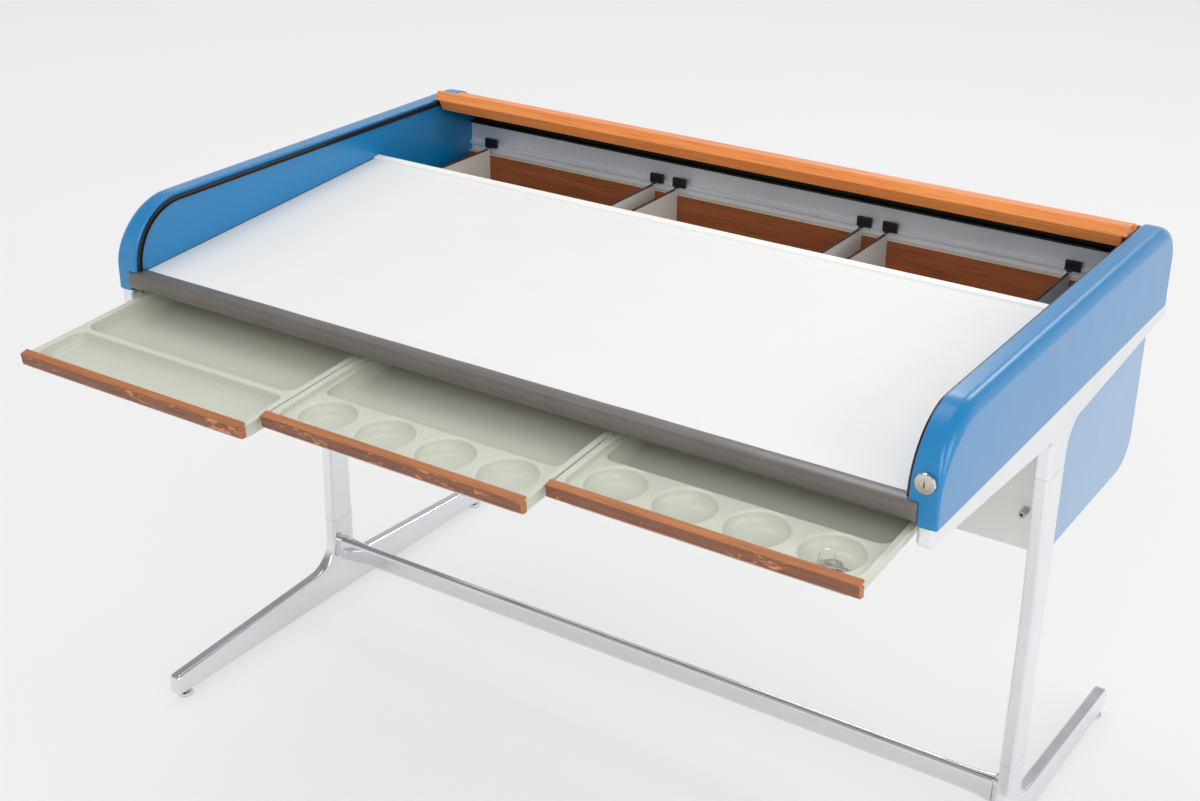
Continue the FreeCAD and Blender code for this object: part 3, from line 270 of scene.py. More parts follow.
# Vinyl skin: brown grey with a fine leather like emboss and a dull sheen.
vinyl = gritty_skin("embossed_brown_grey_vinyl", "#78726D", "#5C5652",
                    rough=0.30, grit_mm=0.9, grit=0.2)
# Cast aluminium: bright, polished by hand, with soft cloudy reflections.
leg_casting = polished_metal("polished_cast_aluminium", "#F1F2F4", "#E7E9EC",
                             low=0.14, high=0.24, stroke=ROUND, stroke_mm=40)
# Chrome: a cold clear mirror with the faintest lines along the rail.
rail_chrome = polished_metal("chrome_plated_steel", "#ECEDEF", "#E4E5E8",
                             low=0.05, high=0.10, stroke=ALONG, stroke_mm=5)
# Anodised rail: matt silver, half metal and half grey film, drawn along its length.
file_alloy = polished_metal("drawn_anodised_aluminium", "#EAEEF5", "#E0E4EC",
                            low=0.34, high=0.48, stroke=ALONG, stroke_mm=1.6, metallic=0.35)
# Nickel of the lock: a warmer and softer mirror than the chrome.
nickel = polished_metal("nickel_plated_brass", "#E0DBD2", "#D6D0C6",
                        low=0.16, high=0.24, stroke=ROUND, stroke_mm=20)
# Steel studs: plain grey metal with soft bright rims.
stud_steel = polished_metal("turned_steel", "#B9BAB9", "#A9AAAA",
                            low=0.16, high=0.26, stroke=ROUND, stroke_mm=6)
# Keys: pale nickel that pockets have rubbed to a broad dull gleam.
key_nickel = polished_metal("worn_nickel_plate", "#F0EDE4", "#E2DDD1",
                            low=0.22, high=0.34, stroke=ROUND, stroke_mm=12, metallic=0.75)
# Walnut veneer: red brown, long straight figure and fine open pores.
walnut = grained_wood("oiled_walnut_veneer", "#A85C30", "#8E4A24", "#5E2E14",
                      rough=0.48, figure_mm=26, coat=0.1)
# Tambour oak: warm orange under a clear lacquer.
bar_wood = grained_wood("lacquered_oak_bar", "#FA9C50", "#EE8B3F", "#C2692C",
                        rough=0.40, figure_mm=22, coat=0.3)
# Pull tops: walnut that keeps its orange oil finish.
pull_wood = grained_wood("oiled_walnut_pull", "#BC723C", "#A8632F", "#784620",
                         rough=0.46, figure_mm=14, coat=0.2)
# Pull fronts: handled dark, and chipped down to the orange wood.
pull_front = grained_wood("handled_walnut_pull", "#8A5A40", "#794B34", "#523220",
                          rough=0.50, figure_mm=14, coat=0.1, bare="#D58A50")
# Walnut edging: dark red brown with a close grain.
walnut_edge = grained_wood("walnut_edging", "#7A4326", "#6A381C", "#45220F",
                           rough=0.5, figure_mm=12, coat=0.1)

# Finish of every kept piece: the first of these words found in its name counts.
LOOKS = (
    ("divider_clip", clip_black), ("divider", divider_board), ("glide", rail_chrome),
    ("tray_rail", rail_enamel), ("tray", tray_plastic), ("pull", pull_wood),
    ("end_panel", blue_lacquer), ("bin_left", bin_lacquer_painted_pale), ("bin_right", bin_lacquer_painted_pale),
    ("bin_studs", stud_steel), ("bin", bin_enamel), ("walnut_partition", walnut),
    ("file_rail", file_alloy), ("foot_rail", rail_chrome), ("foot", leg_casting),
    ("upright", leg_casting), ("armrest", vinyl), ("arm", leg_casting),
    ("worktop_board", core_board), ("worktop_laminate", laminate),
    ("worktop_back_strip", strip_ivory), ("tambour_track", track_black),
    ("tambour_guides", clip_black), ("tambour", bar_wood), ("lock", nickel),
    ("keys", key_nickel),
)
for name, piece in nodes.items():
    look = next(look for word, look in LOOKS if word in name)
    piece.data.materials.clear()
    piece.data.materials.append(look)

# Sizes of the desk in millimetres; depths are from the front face of the end panels.
panel_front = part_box("right_end_panel")[0].y
HALF_WIDTH, PANEL_THICK, PANEL_LOW, PANEL_TOP, PANEL_DEEP = 622.5, 36.5, 699, 822, 794
PANEL_INSIDE = HALF_WIDTH - PANEL_THICK
FRONT_CURVE, REAR_CURVE = 91, 58
SLOPE_RISE = 0.0733
SLOPE = math.atan(SLOPE_RISE)
SIDES = (("left", -1), ("right", 1))
# Points closer than this count as one: in a shape's own unit, and in millimetres.
SAME_PLACE, SAME_MM = 1e-6, 0.01


def at(x, y, z):
    """Point of the desk, in metres in the shared frame."""
    return Vector((x*MM, y*MM + panel_front, z*MM))


def placed(shape, name, look=None):
    """Turn a shape into an object of the scene."""
    mesh = bpy.data.meshes.new(name)
    shape.to_mesh(mesh)
    shape.free()
    piece = bpy.data.objects.new(name, mesh)
    scene.collection.objects.link(piece)
    if look:
        mesh.materials.append(look)
    return piece


def shown(shape, name, look, body, angle=35):
    """Make a piece of a shape: soft shading with crisp edges, a finish, a body to ride on."""
    bmesh.ops.recalc_face_normals(shape, faces=shape.faces)
    for face in shape.faces:
        face.smooth = True
    for edge in shape.edges:
        edge.smooth = edge.calc_face_angle(0) < math.radians(angle)
    piece = placed(shape, name, look)
    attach(piece, body)
    return piece


def even_shading(piece):
    """Let broad flat faces keep their own direction beside small rounded edges."""
    evened = piece.modifiers.new("even_shading", "WEIGHTED_NORMAL")
    evened.keep_sharp = True


def rounded_face(shape, spots, rounds, segments):
    """Face through some spots, with each corner that has a radius rounded."""
    points = [shape.verts.new(spot) for spot in spots]
    shape.faces.new(points)
    for point, reach in zip(points, rounds):
        if reach:
            bmesh.ops.bevel(shape, geom=[point], offset=reach, segments=segments, profile=0.5,
                            affect="VERTICES", material=-1)


def drawn_out(shape, faces, move):
    """Extrude faces and move their new ends."""
    made = bmesh.ops.extrude_face_region(shape, geom=faces)
    moved = [item for item in made["geom"] if isinstance(item, bmesh.types.BMVert)]
    bmesh.ops.translate(shape, verts=moved, vec=move)


def prism(outline, start, end, segments=6):
    """Bar across the desk from corners in depth and height, each with its rounding."""
    shape = bmesh.new()
    rounded_face(shape, [at(start, y, z) for y, z, reach in outline],
                 [reach*MM for y, z, reach in outline], segments)
    drawn_out(shape, shape.faces[:], ((end - start)*MM, 0, 0))
    return shape


def block(low, high, round_edge=0.0):
    """Box between two desk corners, with all its edges rounded."""
    shape = bmesh.new()
    bmesh.ops.create_cube(shape, size=1)
    middle = (at(*low) + at(*high))/2
    bmesh.ops.scale(shape, vec=at(*high) - at(*low), verts=shape.verts)
    bmesh.ops.translate(shape, vec=middle, verts=shape.verts)
    if round_edge:
        bmesh.ops.bevel(shape, geom=shape.edges[:], offset=round_edge*MM, segments=2,
                        profile=0.5, affect="EDGES", material=-1)
    return shape


def drill(radius, depth, segments):
    """Round rod, upright about the origin, for cutting a hole."""
    shape = bmesh.new()
    bmesh.ops.create_cone(shape, cap_ends=True, segments=segments, radius1=radius,
                          radius2=radius, depth=depth)
    return shape


def carve(piece, cutters):
    """Cut closed shapes out of a piece and keep the result as its mesh."""
    tools = []
    for cutter in cutters:
        bmesh.ops.recalc_face_normals(cutter, faces=cutter.faces)
        tools.append(placed(cutter, "cutter"))
        cut = piece.modifiers.new("cut", "BOOLEAN")
        cut.object = tools[-1]
        cut.solver = "EXACT"
    ready = piece.evaluated_get(bpy.context.evaluated_depsgraph_get())
    carved = bpy.data.meshes.new_from_object(ready)
    piece.modifiers.clear()
    piece.data = carved
    for tool in tools:
        bpy.data.objects.remove(tool)


def grow(shape, loop, places):
    """Extrude a closed loop of points and set each new point in its place."""
    old = set(loop)
    edges = [shape.edges.get(pair) for pair in zip(loop, loop[1:] + loop[:1])]
    made = bmesh.ops.extrude_edge_only(shape, edges=edges)["geom"]
    fresh = {}
    for item in made:
        if isinstance(item, bmesh.types.BMVert):
            source = [edge.other_vert(item) for edge in item.link_edges
                      if edge.other_vert(item) in old]
            fresh[source[0]] = item
    grown = [fresh[point] for point in loop]
    for point, spot in zip(grown, places):
        point.co = spot
    return grown


def built_up(shape, loop, rings):
    """Set the loop of a first face on the first ring, grow it through the rest and close it."""
    for point, spot in zip(loop, rings[0]):
        point.co = spot
    for ring in rings[1:]:
        loop = grow(shape, loop, ring)
    shape.faces.new(loop)
    return shape


def from_rings(rings):
    """Closed band through rings of points."""
    shape = bmesh.new()
    loop = [shape.verts.new(spot) for spot in rings[0]]
    shape.faces.new(loop)
    return built_up(shape, loop, rings)


def swings(steps):
    """Even angles of a quarter turn."""
    return [math.pi/2*step/steps for step in range(steps + 1)]


# End panels: the outer edge is crisp at the low front and broadens round the
# front curve to a wide rounding along the top and the back.
CRISP_ROUND, BROAD_ROUND, INNER_ROUND = 3.5, 17.0, 3.0
ROUND_STEPS, CURVE_STEPS = 7, 24


def edge_rounding(spot):
    """Rounding of the outer panel edge at a depth and height."""
    if spot.y > FRONT_CURVE:
        return BROAD_ROUND
    share = min(max((spot.z - PANEL_TOP + FRONT_CURVE)/FRONT_CURVE, 0), 1)
    return CRISP_ROUND + (BROAD_ROUND - CRISP_ROUND)*share*share*(3 - 2*share)


def end_panel(side, sign):
    """One end panel, grown in rings from its inner face to its outer face."""
    shape = bmesh.new()
    corners = [(0, 0, PANEL_LOW), (0, 0, PANEL_TOP), (0, PANEL_DEEP, PANEL_TOP),
               (0, PANEL_DEEP, PANEL_LOW)]
    rounded_face(shape, corners, (0, FRONT_CURVE, REAR_CURVE, 0), CURVE_STEPS)
    loop = list(shape.faces[:][0].verts)
    line = [point.co.copy() for point in loop]
    centre = Vector((0, PANEL_DEEP/2, PANEL_LOW))
    inward = []
    for number, spot in enumerate(line):
        run = line[(number + 1) % len(line)] - line[number - 1]
        turn = Vector((0, -run.z, run.y)).normalized()
        if spot.z < PANEL_LOW + SAME_MM:
            turn = Vector((0, 1 if spot.y < centre.y else -1, 0))
        inward.append(turn if turn.dot(centre - spot) > 0 else -turn)
    steps = [("inner", 1 - math.sin(swing), 1 - math.cos(swing)) for swing in swings(ROUND_STEPS)]
    steps += [("outer", 1 - math.cos(swing), 1 - math.sin(swing)) for swing in swings(ROUND_STEPS)]
    rings = []
    for edge, drawn_in, set_back in steps:
        ring = []
        for spot, turn in zip(line, inward):
            rounding = INNER_ROUND if edge == "inner" else edge_rounding(spot)
            moved = spot + turn*rounding*drawn_in
            depth = set_back*rounding
            x = PANEL_INSIDE + depth if edge == "inner" else HALF_WIDTH - depth
            ring.append(at(sign*x, moved.y, moved.z))
        rings.append(ring)
    built_up(shape, loop, rings)
    return shown(shape, side + "_panel", blue_lacquer, "frame", angle=30)


# Recess in the inner face for the ends of the worktop and the armrest.
RECESS = [(-2, 690, 0), (528, 690, 0), (528, 764.2, 0), (21.5, 726.6, 0), (21.5, 728.2, 0),
          (-2, 728.2, 0)]
RECESS_FROM, RECESS_TO = 580, 599
# Bore of the lock barrel, and the space in which its cam turns.
LOCK_X, LOCK_Z = 604.25, 752
BARREL_BORE, BARREL_DEEP = 9.05, 24.3
CAM_SPACE = ((580, 24, 743), (613.3, 29.5, 774))
for side, sign in SIDES:
    panel = end_panel(side, sign)
    cutters = [prism(RECESS, sign*RECESS_FROM, sign*RECESS_TO)]
    if sign > 0:
        bore = drill(BARREL_BORE*MM, 2*BARREL_DEEP*MM, segments=40)
        bmesh.ops.rotate(bore, verts=bore.verts, matrix=Matrix.Rotation(math.pi/2, 3, "X"))
        bmesh.ops.translate(bore, verts=bore.verts, vec=at(LOCK_X, 0, LOCK_Z))
        cutters += [bore, block(*CAM_SPACE)]
    carve(panel, cutters)
    even_shading(panel)
    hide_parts(side + "_end_panel")

# Tambour tracks: a slim black band on the inner face of the panel, stouter round
# the back, with a groove for the slat ends.
TRACK_INSET, TRACK_WIDE, TRACK_PROUD, TRACK_STOUT = 4.0, 7.0, 3.2, 6.8
GROOVE_WIDE, GROOVE_DEEP = 5.0, 2.4
TRACK_LOW, TRACK_FOOT, TRACK_STEPS = 728.5, 502.2, 20


def rear_curve(inset):
    """Points round the rear corner, in depth and height, at an inset from the panel edge."""
    rear = REAR_CURVE - inset
    return [(PANEL_DEEP - REAR_CURVE + rear*math.sin(swing),
             PANEL_TOP - REAR_CURVE + rear*math.cos(swing)) for swing in swings(TRACK_STEPS)]


def track_line(inset, proud):
    """Points of one track edge, from the nose over the top to the foot in the bin."""
    front = FRONT_CURVE - inset
    line = [(proud, inset, TRACK_LOW)]
    line += [(proud, FRONT_CURVE - front*math.cos(swing),
              PANEL_TOP - FRONT_CURVE + front*math.sin(swing)) for swing in swings(TRACK_STEPS)]
    line.append((proud, PANEL_DEEP - REAR_CURVE, PANEL_TOP - inset))
    stout = proud + (TRACK_STOUT - TRACK_PROUD if proud else 0)
    line += [(stout, *spot) for spot in rear_curve(inset)[1:]]
    line.append((stout, PANEL_DEEP - inset, TRACK_FOOT))
    return line


GROOVE_INSET = TRACK_INSET + (TRACK_WIDE - GROOVE_WIDE)/2
TRACK_SECTION = [
    (TRACK_INSET, 0), (TRACK_INSET, TRACK_PROUD), (GROOVE_INSET, TRACK_PROUD),
    (GROOVE_INSET, TRACK_PROUD - GROOVE_DEEP),
    (GROOVE_INSET + GROOVE_WIDE, TRACK_PROUD - GROOVE_DEEP),
    (GROOVE_INSET + GROOVE_WIDE, TRACK_PROUD), (TRACK_INSET + TRACK_WIDE, TRACK_PROUD),
    (TRACK_INSET + TRACK_WIDE, 0),
]
for side, sign in SIDES:
    band = from_rings([[at(sign*(PANEL_INSIDE - proud), y, z) for proud, y, z in ring]
                       for ring in zip(*(track_line(*corner) for corner in TRACK_SECTION))])
    track = shown(band, side + "_slim_track", track_black, "frame")
    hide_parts(side + "_tambour_track")

# Armrest: a vinyl skin over foam, with a full round nose. Its skin swells a
# little in two slow waves along the desk, but stays flat underneath.
NOSE, WORKTOP_EDGE, ARMREST_LOW, ARMREST_HIGH, ARMREST_HALF = -5.2, 20.8, 702.8, 728, 598.3
ARMREST_OUTLINE = [
    (NOSE, ARMREST_LOW, 9), (WORKTOP_EDGE, ARMREST_LOW, 1),
    (WORKTOP_EDGE, ARMREST_HIGH - 1.2, 1.5), (8, ARMREST_HIGH, 6), (NOSE, ARMREST_HIGH - 1.5, 11),
]
ARMREST_CUTS, ARMREST_END_ROUND, FLAT_UNDER = 60, 2.5, 4
SWELL, LONG_WAVE, SHORT_WAVE, WAVE_SHIFT = 0.12, 31, 53, 1.3
pad = prism(ARMREST_OUTLINE, -ARMREST_HALF, ARMREST_HALF, segments=8)
long_edges = [edge for edge in pad.edges if abs(edge.verts[0].co.x - edge.verts[1].co.x) > 1]
bmesh.ops.subdivide_edges(pad, edges=long_edges, cuts=ARMREST_CUTS, use_grid_fill=True)
for point in pad.verts:
    swell = math.sin(point.co.x*LONG_WAVE) + math.sin(point.co.x*SHORT_WAVE + WAVE_SHIFT)
    if point.co.z > ARMREST_LOW*MM + FLAT_UNDER*MM:
        point.co.z += SWELL*MM*swell
ends = [edge for edge in pad.edges
        if all(abs(abs(point.co.x) - ARMREST_HALF*MM) < SAME_PLACE for point in edge.verts)]
bmesh.ops.bevel(pad, geom=ends, offset=ARMREST_END_ROUND*MM, segments=4, profile=0.5,
                affect="EDGES", material=-1)
armrest = shown(pad, "padded_armrest", vinyl, "frame", angle=50)
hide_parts("armrest")

# Tray pulls: a bar with a gently falling top, a rounded foot and a groove for the
# tray lip. The front face is the one that hands have worn.
TRAY_OUT = {"left": 192.075, "middle": 156.0, "right": 110.9875}
TRAY_X = {"left": -396, "middle": 0, "right": 396}
RIM_AT_FRONT = 689.96
PULL_HALF, PULL_END_ROUND, FACING_FRONT = 197.2, 0.6, -0.97
PULL_OUTLINE = [
    (-0.3, 4.5, 0.5), (-12, 2.5, 1.0), (-11.2, -15.8, 4.5), (-0.3, -17, 1.2), (-0.3, -3.4, 0),
    (-4.2, -3.4, 0), (-4.2, 0.6, 0), (-0.3, 0.6, 0),
]


def tray_space(name):
    """Transform from a tray's own millimetres to the desk, with the tray drawn out."""
    out = TRAY_OUT[name]
    spot = at(TRAY_X[name], -out, RIM_AT_FRONT - SLOPE_RISE*out)
    return (Matrix.Translation(spot) @ Matrix.Rotation(SLOPE, 4, "X")
            @ Matrix.Diagonal((MM, MM, MM, 1)))


for name in TRAY_OUT:
    bar = bmesh.new()
    rounded_face(bar, [(-PULL_HALF, y, z) for y, z, reach in PULL_OUTLINE],
                 [reach for y, z, reach in PULL_OUTLINE], segments=5)
    drawn_out(bar, bar.faces[:], (2*PULL_HALF, 0, 0))
    rim = [edge for edge in bar.edges
           if abs(edge.verts[0].co.x - edge.verts[1].co.x) < SAME_PLACE]
    bmesh.ops.bevel(bar, geom=rim, offset=PULL_END_ROUND, segments=2, profile=0.5,
                    affect="EDGES", material=-1)
    bmesh.ops.recalc_face_normals(bar, faces=bar.faces)
    for face in bar.faces:
        face.material_index = 1 if face.normal.y < FACING_FRONT else 0
    bmesh.ops.transform(bar, matrix=tray_space(name), verts=bar.verts)
    pull = shown(bar, name + "_wood_pull", pull_wood, name + "_tray")
    pull.data.materials.append(pull_front)
    even_shading(pull)
    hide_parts(name + "_pull")

# Keys on a split ring, lying in the last cup of the right tray: the ring stands
# behind the bows, and one blade points to the front right.
CUP_X, CUP_DEEP_AT, CUP_FLOOR = 138, 44.1, -24.5
KEY_THICK, KEY_ROUND, BLADE_LONG, BLADE_WIDE = 1.9, 0.3, 22.0, 6.6
BOW_RADIUS, BOW_HIGH, BOW_STEPS = 11.0, 9.9, 36
EYE_RADIUS, EYE_DEEP, EYE_X = 2.4, 14, -6.6
TIP_SLANT, TIP_LONG = 2.2, 2
# Cuts of the blade: distance beyond the bow and depth.
KEY_CUTS = ((5, 0), (6.5, 1.6), (8, 1.6), (9.5, 0.6), (11, 2.4), (12.5, 2.4), (14, 0.9),
            (16, 2.0), (17.5, 2.0), (19, 0.8), (20.5, 1.2))
# Each key and the ring: shift from the middle of the cup, then turn, lean and roll.
KEY_PLACES = (((-7, -6, 1.0), -0.95, -0.10, 0.04), ((3, -3, 3.6), -0.28, -0.03, -0.10))
RING_PLACE = ((-6, 0, 9.6), 0.35, 0, 1.30)
RING_RADIUS, WIRE_RADIUS = 8.6, 0.65


def key_space(shift, turn, lean, roll):
    """Transform from a key's own millimetres to the desk."""
    spot = Vector((CUP_X, CUP_DEEP_AT, CUP_FLOOR)) + Vector(shift)
    return (tray_space("right") @ Matrix.Translation(spot) @ Matrix.Rotation(turn, 4, "Z")
            @ Matrix.Rotation(lean, 4, "Y") @ Matrix.Rotation(roll, 4, "X"))


def key_blank():
    """One flat key: an oval bow and a notched blade."""
    half = BLADE_WIDE/2
    root = math.asin(half/BOW_HIGH)
    tip = BOW_RADIUS + BLADE_LONG
    turns = [root + (2*math.pi - 2*root)*step/BOW_STEPS for step in range(BOW_STEPS + 1)]
    outline = [(BOW_RADIUS*math.cos(turn), BOW_HIGH*math.sin(turn)) for turn in turns]
    outline += [(BOW_RADIUS + along, -half + cut) for along, cut in KEY_CUTS]
    outline += [(tip, half - TIP_SLANT), (tip - TIP_LONG, half)]
    key = bmesh.new()
    face = key.faces.new([key.verts.new((x, y, 0)) for x, y in outline])
    drawn_out(key, [face], (0, 0, KEY_THICK))
    return key


for number, place in enumerate(KEY_PLACES, 1):
    blank = key_blank()
    bmesh.ops.transform(blank, matrix=key_space(*place), verts=blank.verts)
    key = shown(blank, "key_%d" % number, key_nickel, "right_tray")
    eye_hole = drill(EYE_RADIUS, EYE_DEEP, segments=20)
    bmesh.ops.translate(eye_hole, vec=(EYE_X, 0, 0), verts=eye_hole.verts)
    bmesh.ops.transform(eye_hole, matrix=key_space(*place), verts=eye_hole.verts)
    carve(key, [eye_hole])
    rounded = key.modifiers.new("rounded", "BEVEL")
    rounded.width = KEY_ROUND*MM
    rounded.segments = 2
    rounded.limit_method = "ANGLE"
    if number == 1:
        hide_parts("keys")
ring = bmesh.new()
wire = bmesh.ops.create_circle(ring, segments=10, radius=WIRE_RADIUS)["verts"]
bmesh.ops.rotate(ring, verts=wire, matrix=Matrix.Rotation(math.pi/2, 3, "X"))
bmesh.ops.translate(ring, verts=wire, vec=(RING_RADIUS, 0, 0))
bmesh.ops.spin(ring, geom=ring.edges[:], cent=(0, 0, 0), axis=(0, 0, 1), angle=2*math.pi,
               steps=48, use_merge=True)
bmesh.ops.transform(ring, verts=ring.verts, matrix=key_space(*RING_PLACE))
split_ring = shown(ring, "key_ring", key_nickel, "right_tray")

# Foot rail: each end flares into the boss of the upright. The flare starts a
# hair proud of the rail and widens ever faster towards its end.
FLARE_LONG, FLARE_GROW, FLARE_STEPS, FLARE_PROUD, FLARE_BEND = 62, 4.4, 8, 0.15, 2.2
rail_low, rail_high = (corner/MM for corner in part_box("foot_rail"))
rail_mid = (rail_low + rail_high)/2
rail_half = (rail_high - rail_low)/2
for side, sign in SIDES:
    shape = bmesh.new()
    corners = [shape.verts.new((0, y*(rail_half.y + FLARE_PROUD), z*(rail_half.z + FLARE_PROUD)))
               for y, z in ((-1, -1), (1, -1), (1, 1), (-1, 1))]
    shape.faces.new(corners)
    bmesh.ops.bevel(shape, geom=corners, offset=rail_half.y, segments=8, profile=0.5,
                    affect="VERTICES", material=-1)
    bmesh.ops.remove_doubles(shape, verts=shape.verts, dist=SAME_MM)
    loop = list(shape.faces[:][0].verts)
    line = [point.co.copy() for point in loop]
    rings = []
    for step in range(FLARE_STEPS + 1):
        share = step/FLARE_STEPS
        wider = 1 + FLARE_GROW*share**FLARE_BEND/rail_half.y
        taller = 1 + FLARE_GROW*share**FLARE_BEND/rail_half.z
        x = sign*(rail_half.x - FLARE_LONG*(1 - share))*MM
        rings.append([Vector((x, (rail_mid.y + spot.y*wider)*MM, (rail_mid.z + spot.z*taller)*MM))
                      for spot in line])
    built_up(shape, loop, rings)
    flare = shown(shape, side + "_rail_flare", rail_chrome, "frame")

# Levelling glides: a broad turned foot on a short stem. Radius and height.
GLIDE_OUTLINE = ((0, 0), (10.6, 0), (11.4, 0.4), (11.8, 1.2), (11.8, 4.4), (11.2, 5.6),
                 (9.8, 6.2), (3.9, 6.6), (3.9, 11.5), (0, 11.5))
for name in ("glide_front_left", "glide_rear_left", "glide_front_right", "glide_rear_right"):
    low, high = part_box(name)
    stem = (low + high)/2
    shape = bmesh.new()
    line = [shape.verts.new((stem.x + reach*MM, stem.y, height*MM))
            for reach, height in GLIDE_OUTLINE]
    for pair in zip(line, line[1:]):
        shape.edges.new(pair)
    bmesh.ops.spin(shape, geom=shape.verts[:] + shape.edges[:], cent=stem, axis=(0, 0, 1),
                   angle=2*math.pi, steps=40, use_merge=True)
    bmesh.ops.remove_doubles(shape, verts=shape.verts, dist=SAME_PLACE)
    glide = shown(shape, name + "_foot", rail_chrome, name)
    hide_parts(name)

# File dividers: wooden or dark edging along the top of each board.
DIVIDER_TOP = 724.5
EDGING_HALF, EDGING_FRONT, EDGING_BACK, EDGING_DOWN, EDGING_UP = 1.7, 529, 757, 2.2, 0.25
for number in range(1, 7):
    low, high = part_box("divider_%d" % number)
    middle = (low.x + high.x)/2/MM
    edging = block((middle - EDGING_HALF, EDGING_FRONT, DIVIDER_TOP - EDGING_DOWN),
                   (middle + EDGING_HALF, EDGING_BACK, DIVIDER_TOP + EDGING_UP), round_edge=0.3)
    strip = shown(edging, "divider_edging_%d" % number, walnut_edge if number % 2 else dark_edge,
                  "divider_%d" % number)

# Partition top: a cream edging in front of the file rail.
PARTITION_EDGING = ((-585.8, 762.9, 712.2), (585.8, 772.8, 713.9))
cap = shown(block(*PARTITION_EDGING, round_edge=0.4), "partition_edging", strip_cream, "frame")

# A black strip on the file rail, close under the tambour: painted shadow that stands for the dark
# gap between the bar and the rail.
RAIL_SHADOW_STRIP = ((-585, 768.2, 761.4), (585, 780.2, 764.4))
shadow_strip = shown(block(*RAIL_SHADOW_STRIP, round_edge=0.5), "rail_painted_shadow", clip_black, "frame")

# Tambour slats behind the lead bar, built folded tight under its ledge as the desk stands open:
# each slat sits at the rest depth of a slat laid evenly over the top with the bar drawn out.
FOLD_BACK, FOLD_FRONT, TRAVEL = 735.5, 712.4, 585
SLAT_LOW, SLAT_HIGH, SLAT_HALF, SLAT_PITCH, SLAT_GAP = 810.6, 818.4, 581.5, 17.6, 1.0
# Rounding of a slat's upper edges: distance in from the side and drop below the top.
SLAT_CROWN = ((0, 1.5), (2, 0.3), (5, 0))
HALVINGS = 60


def folded(depth):
    """Depth at rest of a point that has this depth when the bar is drawn out."""
    near, far = 0.0, 1.0
    for _ in range(HALVINGS):
        share = (near + far)/2
        reach = FOLD_BACK - (FOLD_BACK - FOLD_FRONT)*share - TRAVEL*share*share*(3 - 2*share)
        if reach > depth:
            near = share
        else:
            far = share
    return FOLD_BACK - (FOLD_BACK - FOLD_FRONT)*near


slats = bmesh.new()
count = int((TRAVEL + FOLD_BACK - FOLD_FRONT)/SLAT_PITCH)
for number in range(count):
    start = FOLD_BACK - number*SLAT_PITCH
    end = start - SLAT_PITCH + SLAT_GAP
    section = [(start, SLAT_LOW)]
    section += [(start - inset, SLAT_HIGH - drop) for inset, drop in SLAT_CROWN]
    section += [(end + inset, SLAT_HIGH - drop) for inset, drop in reversed(SLAT_CROWN)]
    section.append((end, SLAT_LOW))
    face = slats.faces.new([slats.verts.new(at(-SLAT_HALF, folded(y), z)) for y, z in section])
    drawn_out(slats, [face], (2*SLAT_HALF*MM, 0, 0))
bmesh.ops.recalc_face_normals(slats, faces=slats.faces)
top_slats = placed(slats, "tambour_top_slats", bar_wood)
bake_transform(top_slats)
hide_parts("tambour_canvas")

# Canvas behind the back slats: dark cloth that closes the lines between them.
CLOTH_OUTER, CLOTH_INNER, CLOTH_HALF, CLOTH_FOOT = 11.6, 12.2, 578.5, 506


def back_line(inset):
    """Path down the back of the panels at an inset from their edge."""
    return rear_curve(inset) + [(PANEL_DEEP - inset, CLOTH_FOOT)]


sheet = from_rings([[at(-CLOTH_HALF, *outer), at(CLOTH_HALF, *outer), at(CLOTH_HALF, *inner),
                     at(-CLOTH_HALF, *inner)]
                    for outer, inner in zip(back_line(CLOTH_OUTER), back_line(CLOTH_INNER))])
cloth = shown(sheet, "tambour_cloth", canvas_dark, "frame")

# Crisp sawn or sheared edges are eased a little on the plain boards and rails.
EASED = {
    "worktop_laminate": 0.4, "worktop_back_strip": 0.5, "walnut_partition": 0.6, "file_rail": 0.4,
    "front_file_rail": 0.3, "bin_front": 1.0, "tambour_lead_bar": 0.8, "bin_left_end": 1.5,
    "bin_right_end": 1.5,
}
EASED_FROM_ANGLE = 50
EASED.update({"divider_clip_%d" % number: 0.7 for number in range(1, 7)})
for name, reach in EASED.items():
    joined = nodes[name].modifiers.new("joined", "WELD")
    joined.merge_threshold = SAME_MM*MM
    eased = nodes[name].modifiers.new("eased", "BEVEL")
    eased.width = reach*MM
    eased.segments = 2
    eased.limit_method = "ANGLE"
    eased.angle_limit = math.radians(EASED_FROM_ANGLE)
    even_shading(nodes[name])

# Floor and backdrop: one pale sweep, part of it shown at its own white to the
# camera and to gloss, so that the shadow stays faint.
FLOOR_HALF = 14
sweep_look, tree, shader, place = new_finish("matt_white_sweep", Roughness=0.9)
cloud = add(tree, "TexNoise", {"Vector": place, "Scale": per(700), "Detail": 3.0})
tone = add(tree, "Mix", {FACTOR: cloud.outputs["Fac"], FIRST: linear("#F3F3F4"),
                         SECOND: linear("#EFEFF0")}, data_type="RGBA")
tree.links.new(tone.outputs[MIXED], shader.inputs["Base Color"])
rays = add(tree, "LightPath")
by_eye = add(tree, "MapRange", {"Value": rays.outputs["Is Camera Ray"], "To Min": 0.0,
                                "To Max": 0.62})
by_gloss = add(tree, "MapRange", {"Value": rays.outputs["Is Glossy Ray"], "To Min": 0.0,
                                  "To Max": 0.15})
part = add(tree, "Math", {0: by_eye.outputs["Result"], 1: by_gloss.outputs["Result"]},
           operation="MAXIMUM")
glow = add(tree, "Emission", {"Color": linear("#F1F1F2"), "Strength": 1.0})
surface = add(tree, "MixShader", {0: part.outputs[0], 1: shader.outputs[0], 2: glow.outputs[0]})
tree.links.new(surface.outputs[0], tree.nodes["Material Output"].inputs["Surface"])
sweep = bmesh.new()
bmesh.ops.create_grid(sweep, x_segments=1, y_segments=1, size=FLOOR_HALF)
floor = placed(sweep, "floor", sweep_look)
floor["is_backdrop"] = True

# Light: an even white room that gloss sees as pale walls under a greyer ceiling.
scene.view_settings.view_transform = "Standard"
world = bpy.data.worlds.new("studio")
scene.world = world
world.use_nodes = True
tree = world.node_tree
tree.nodes.clear()
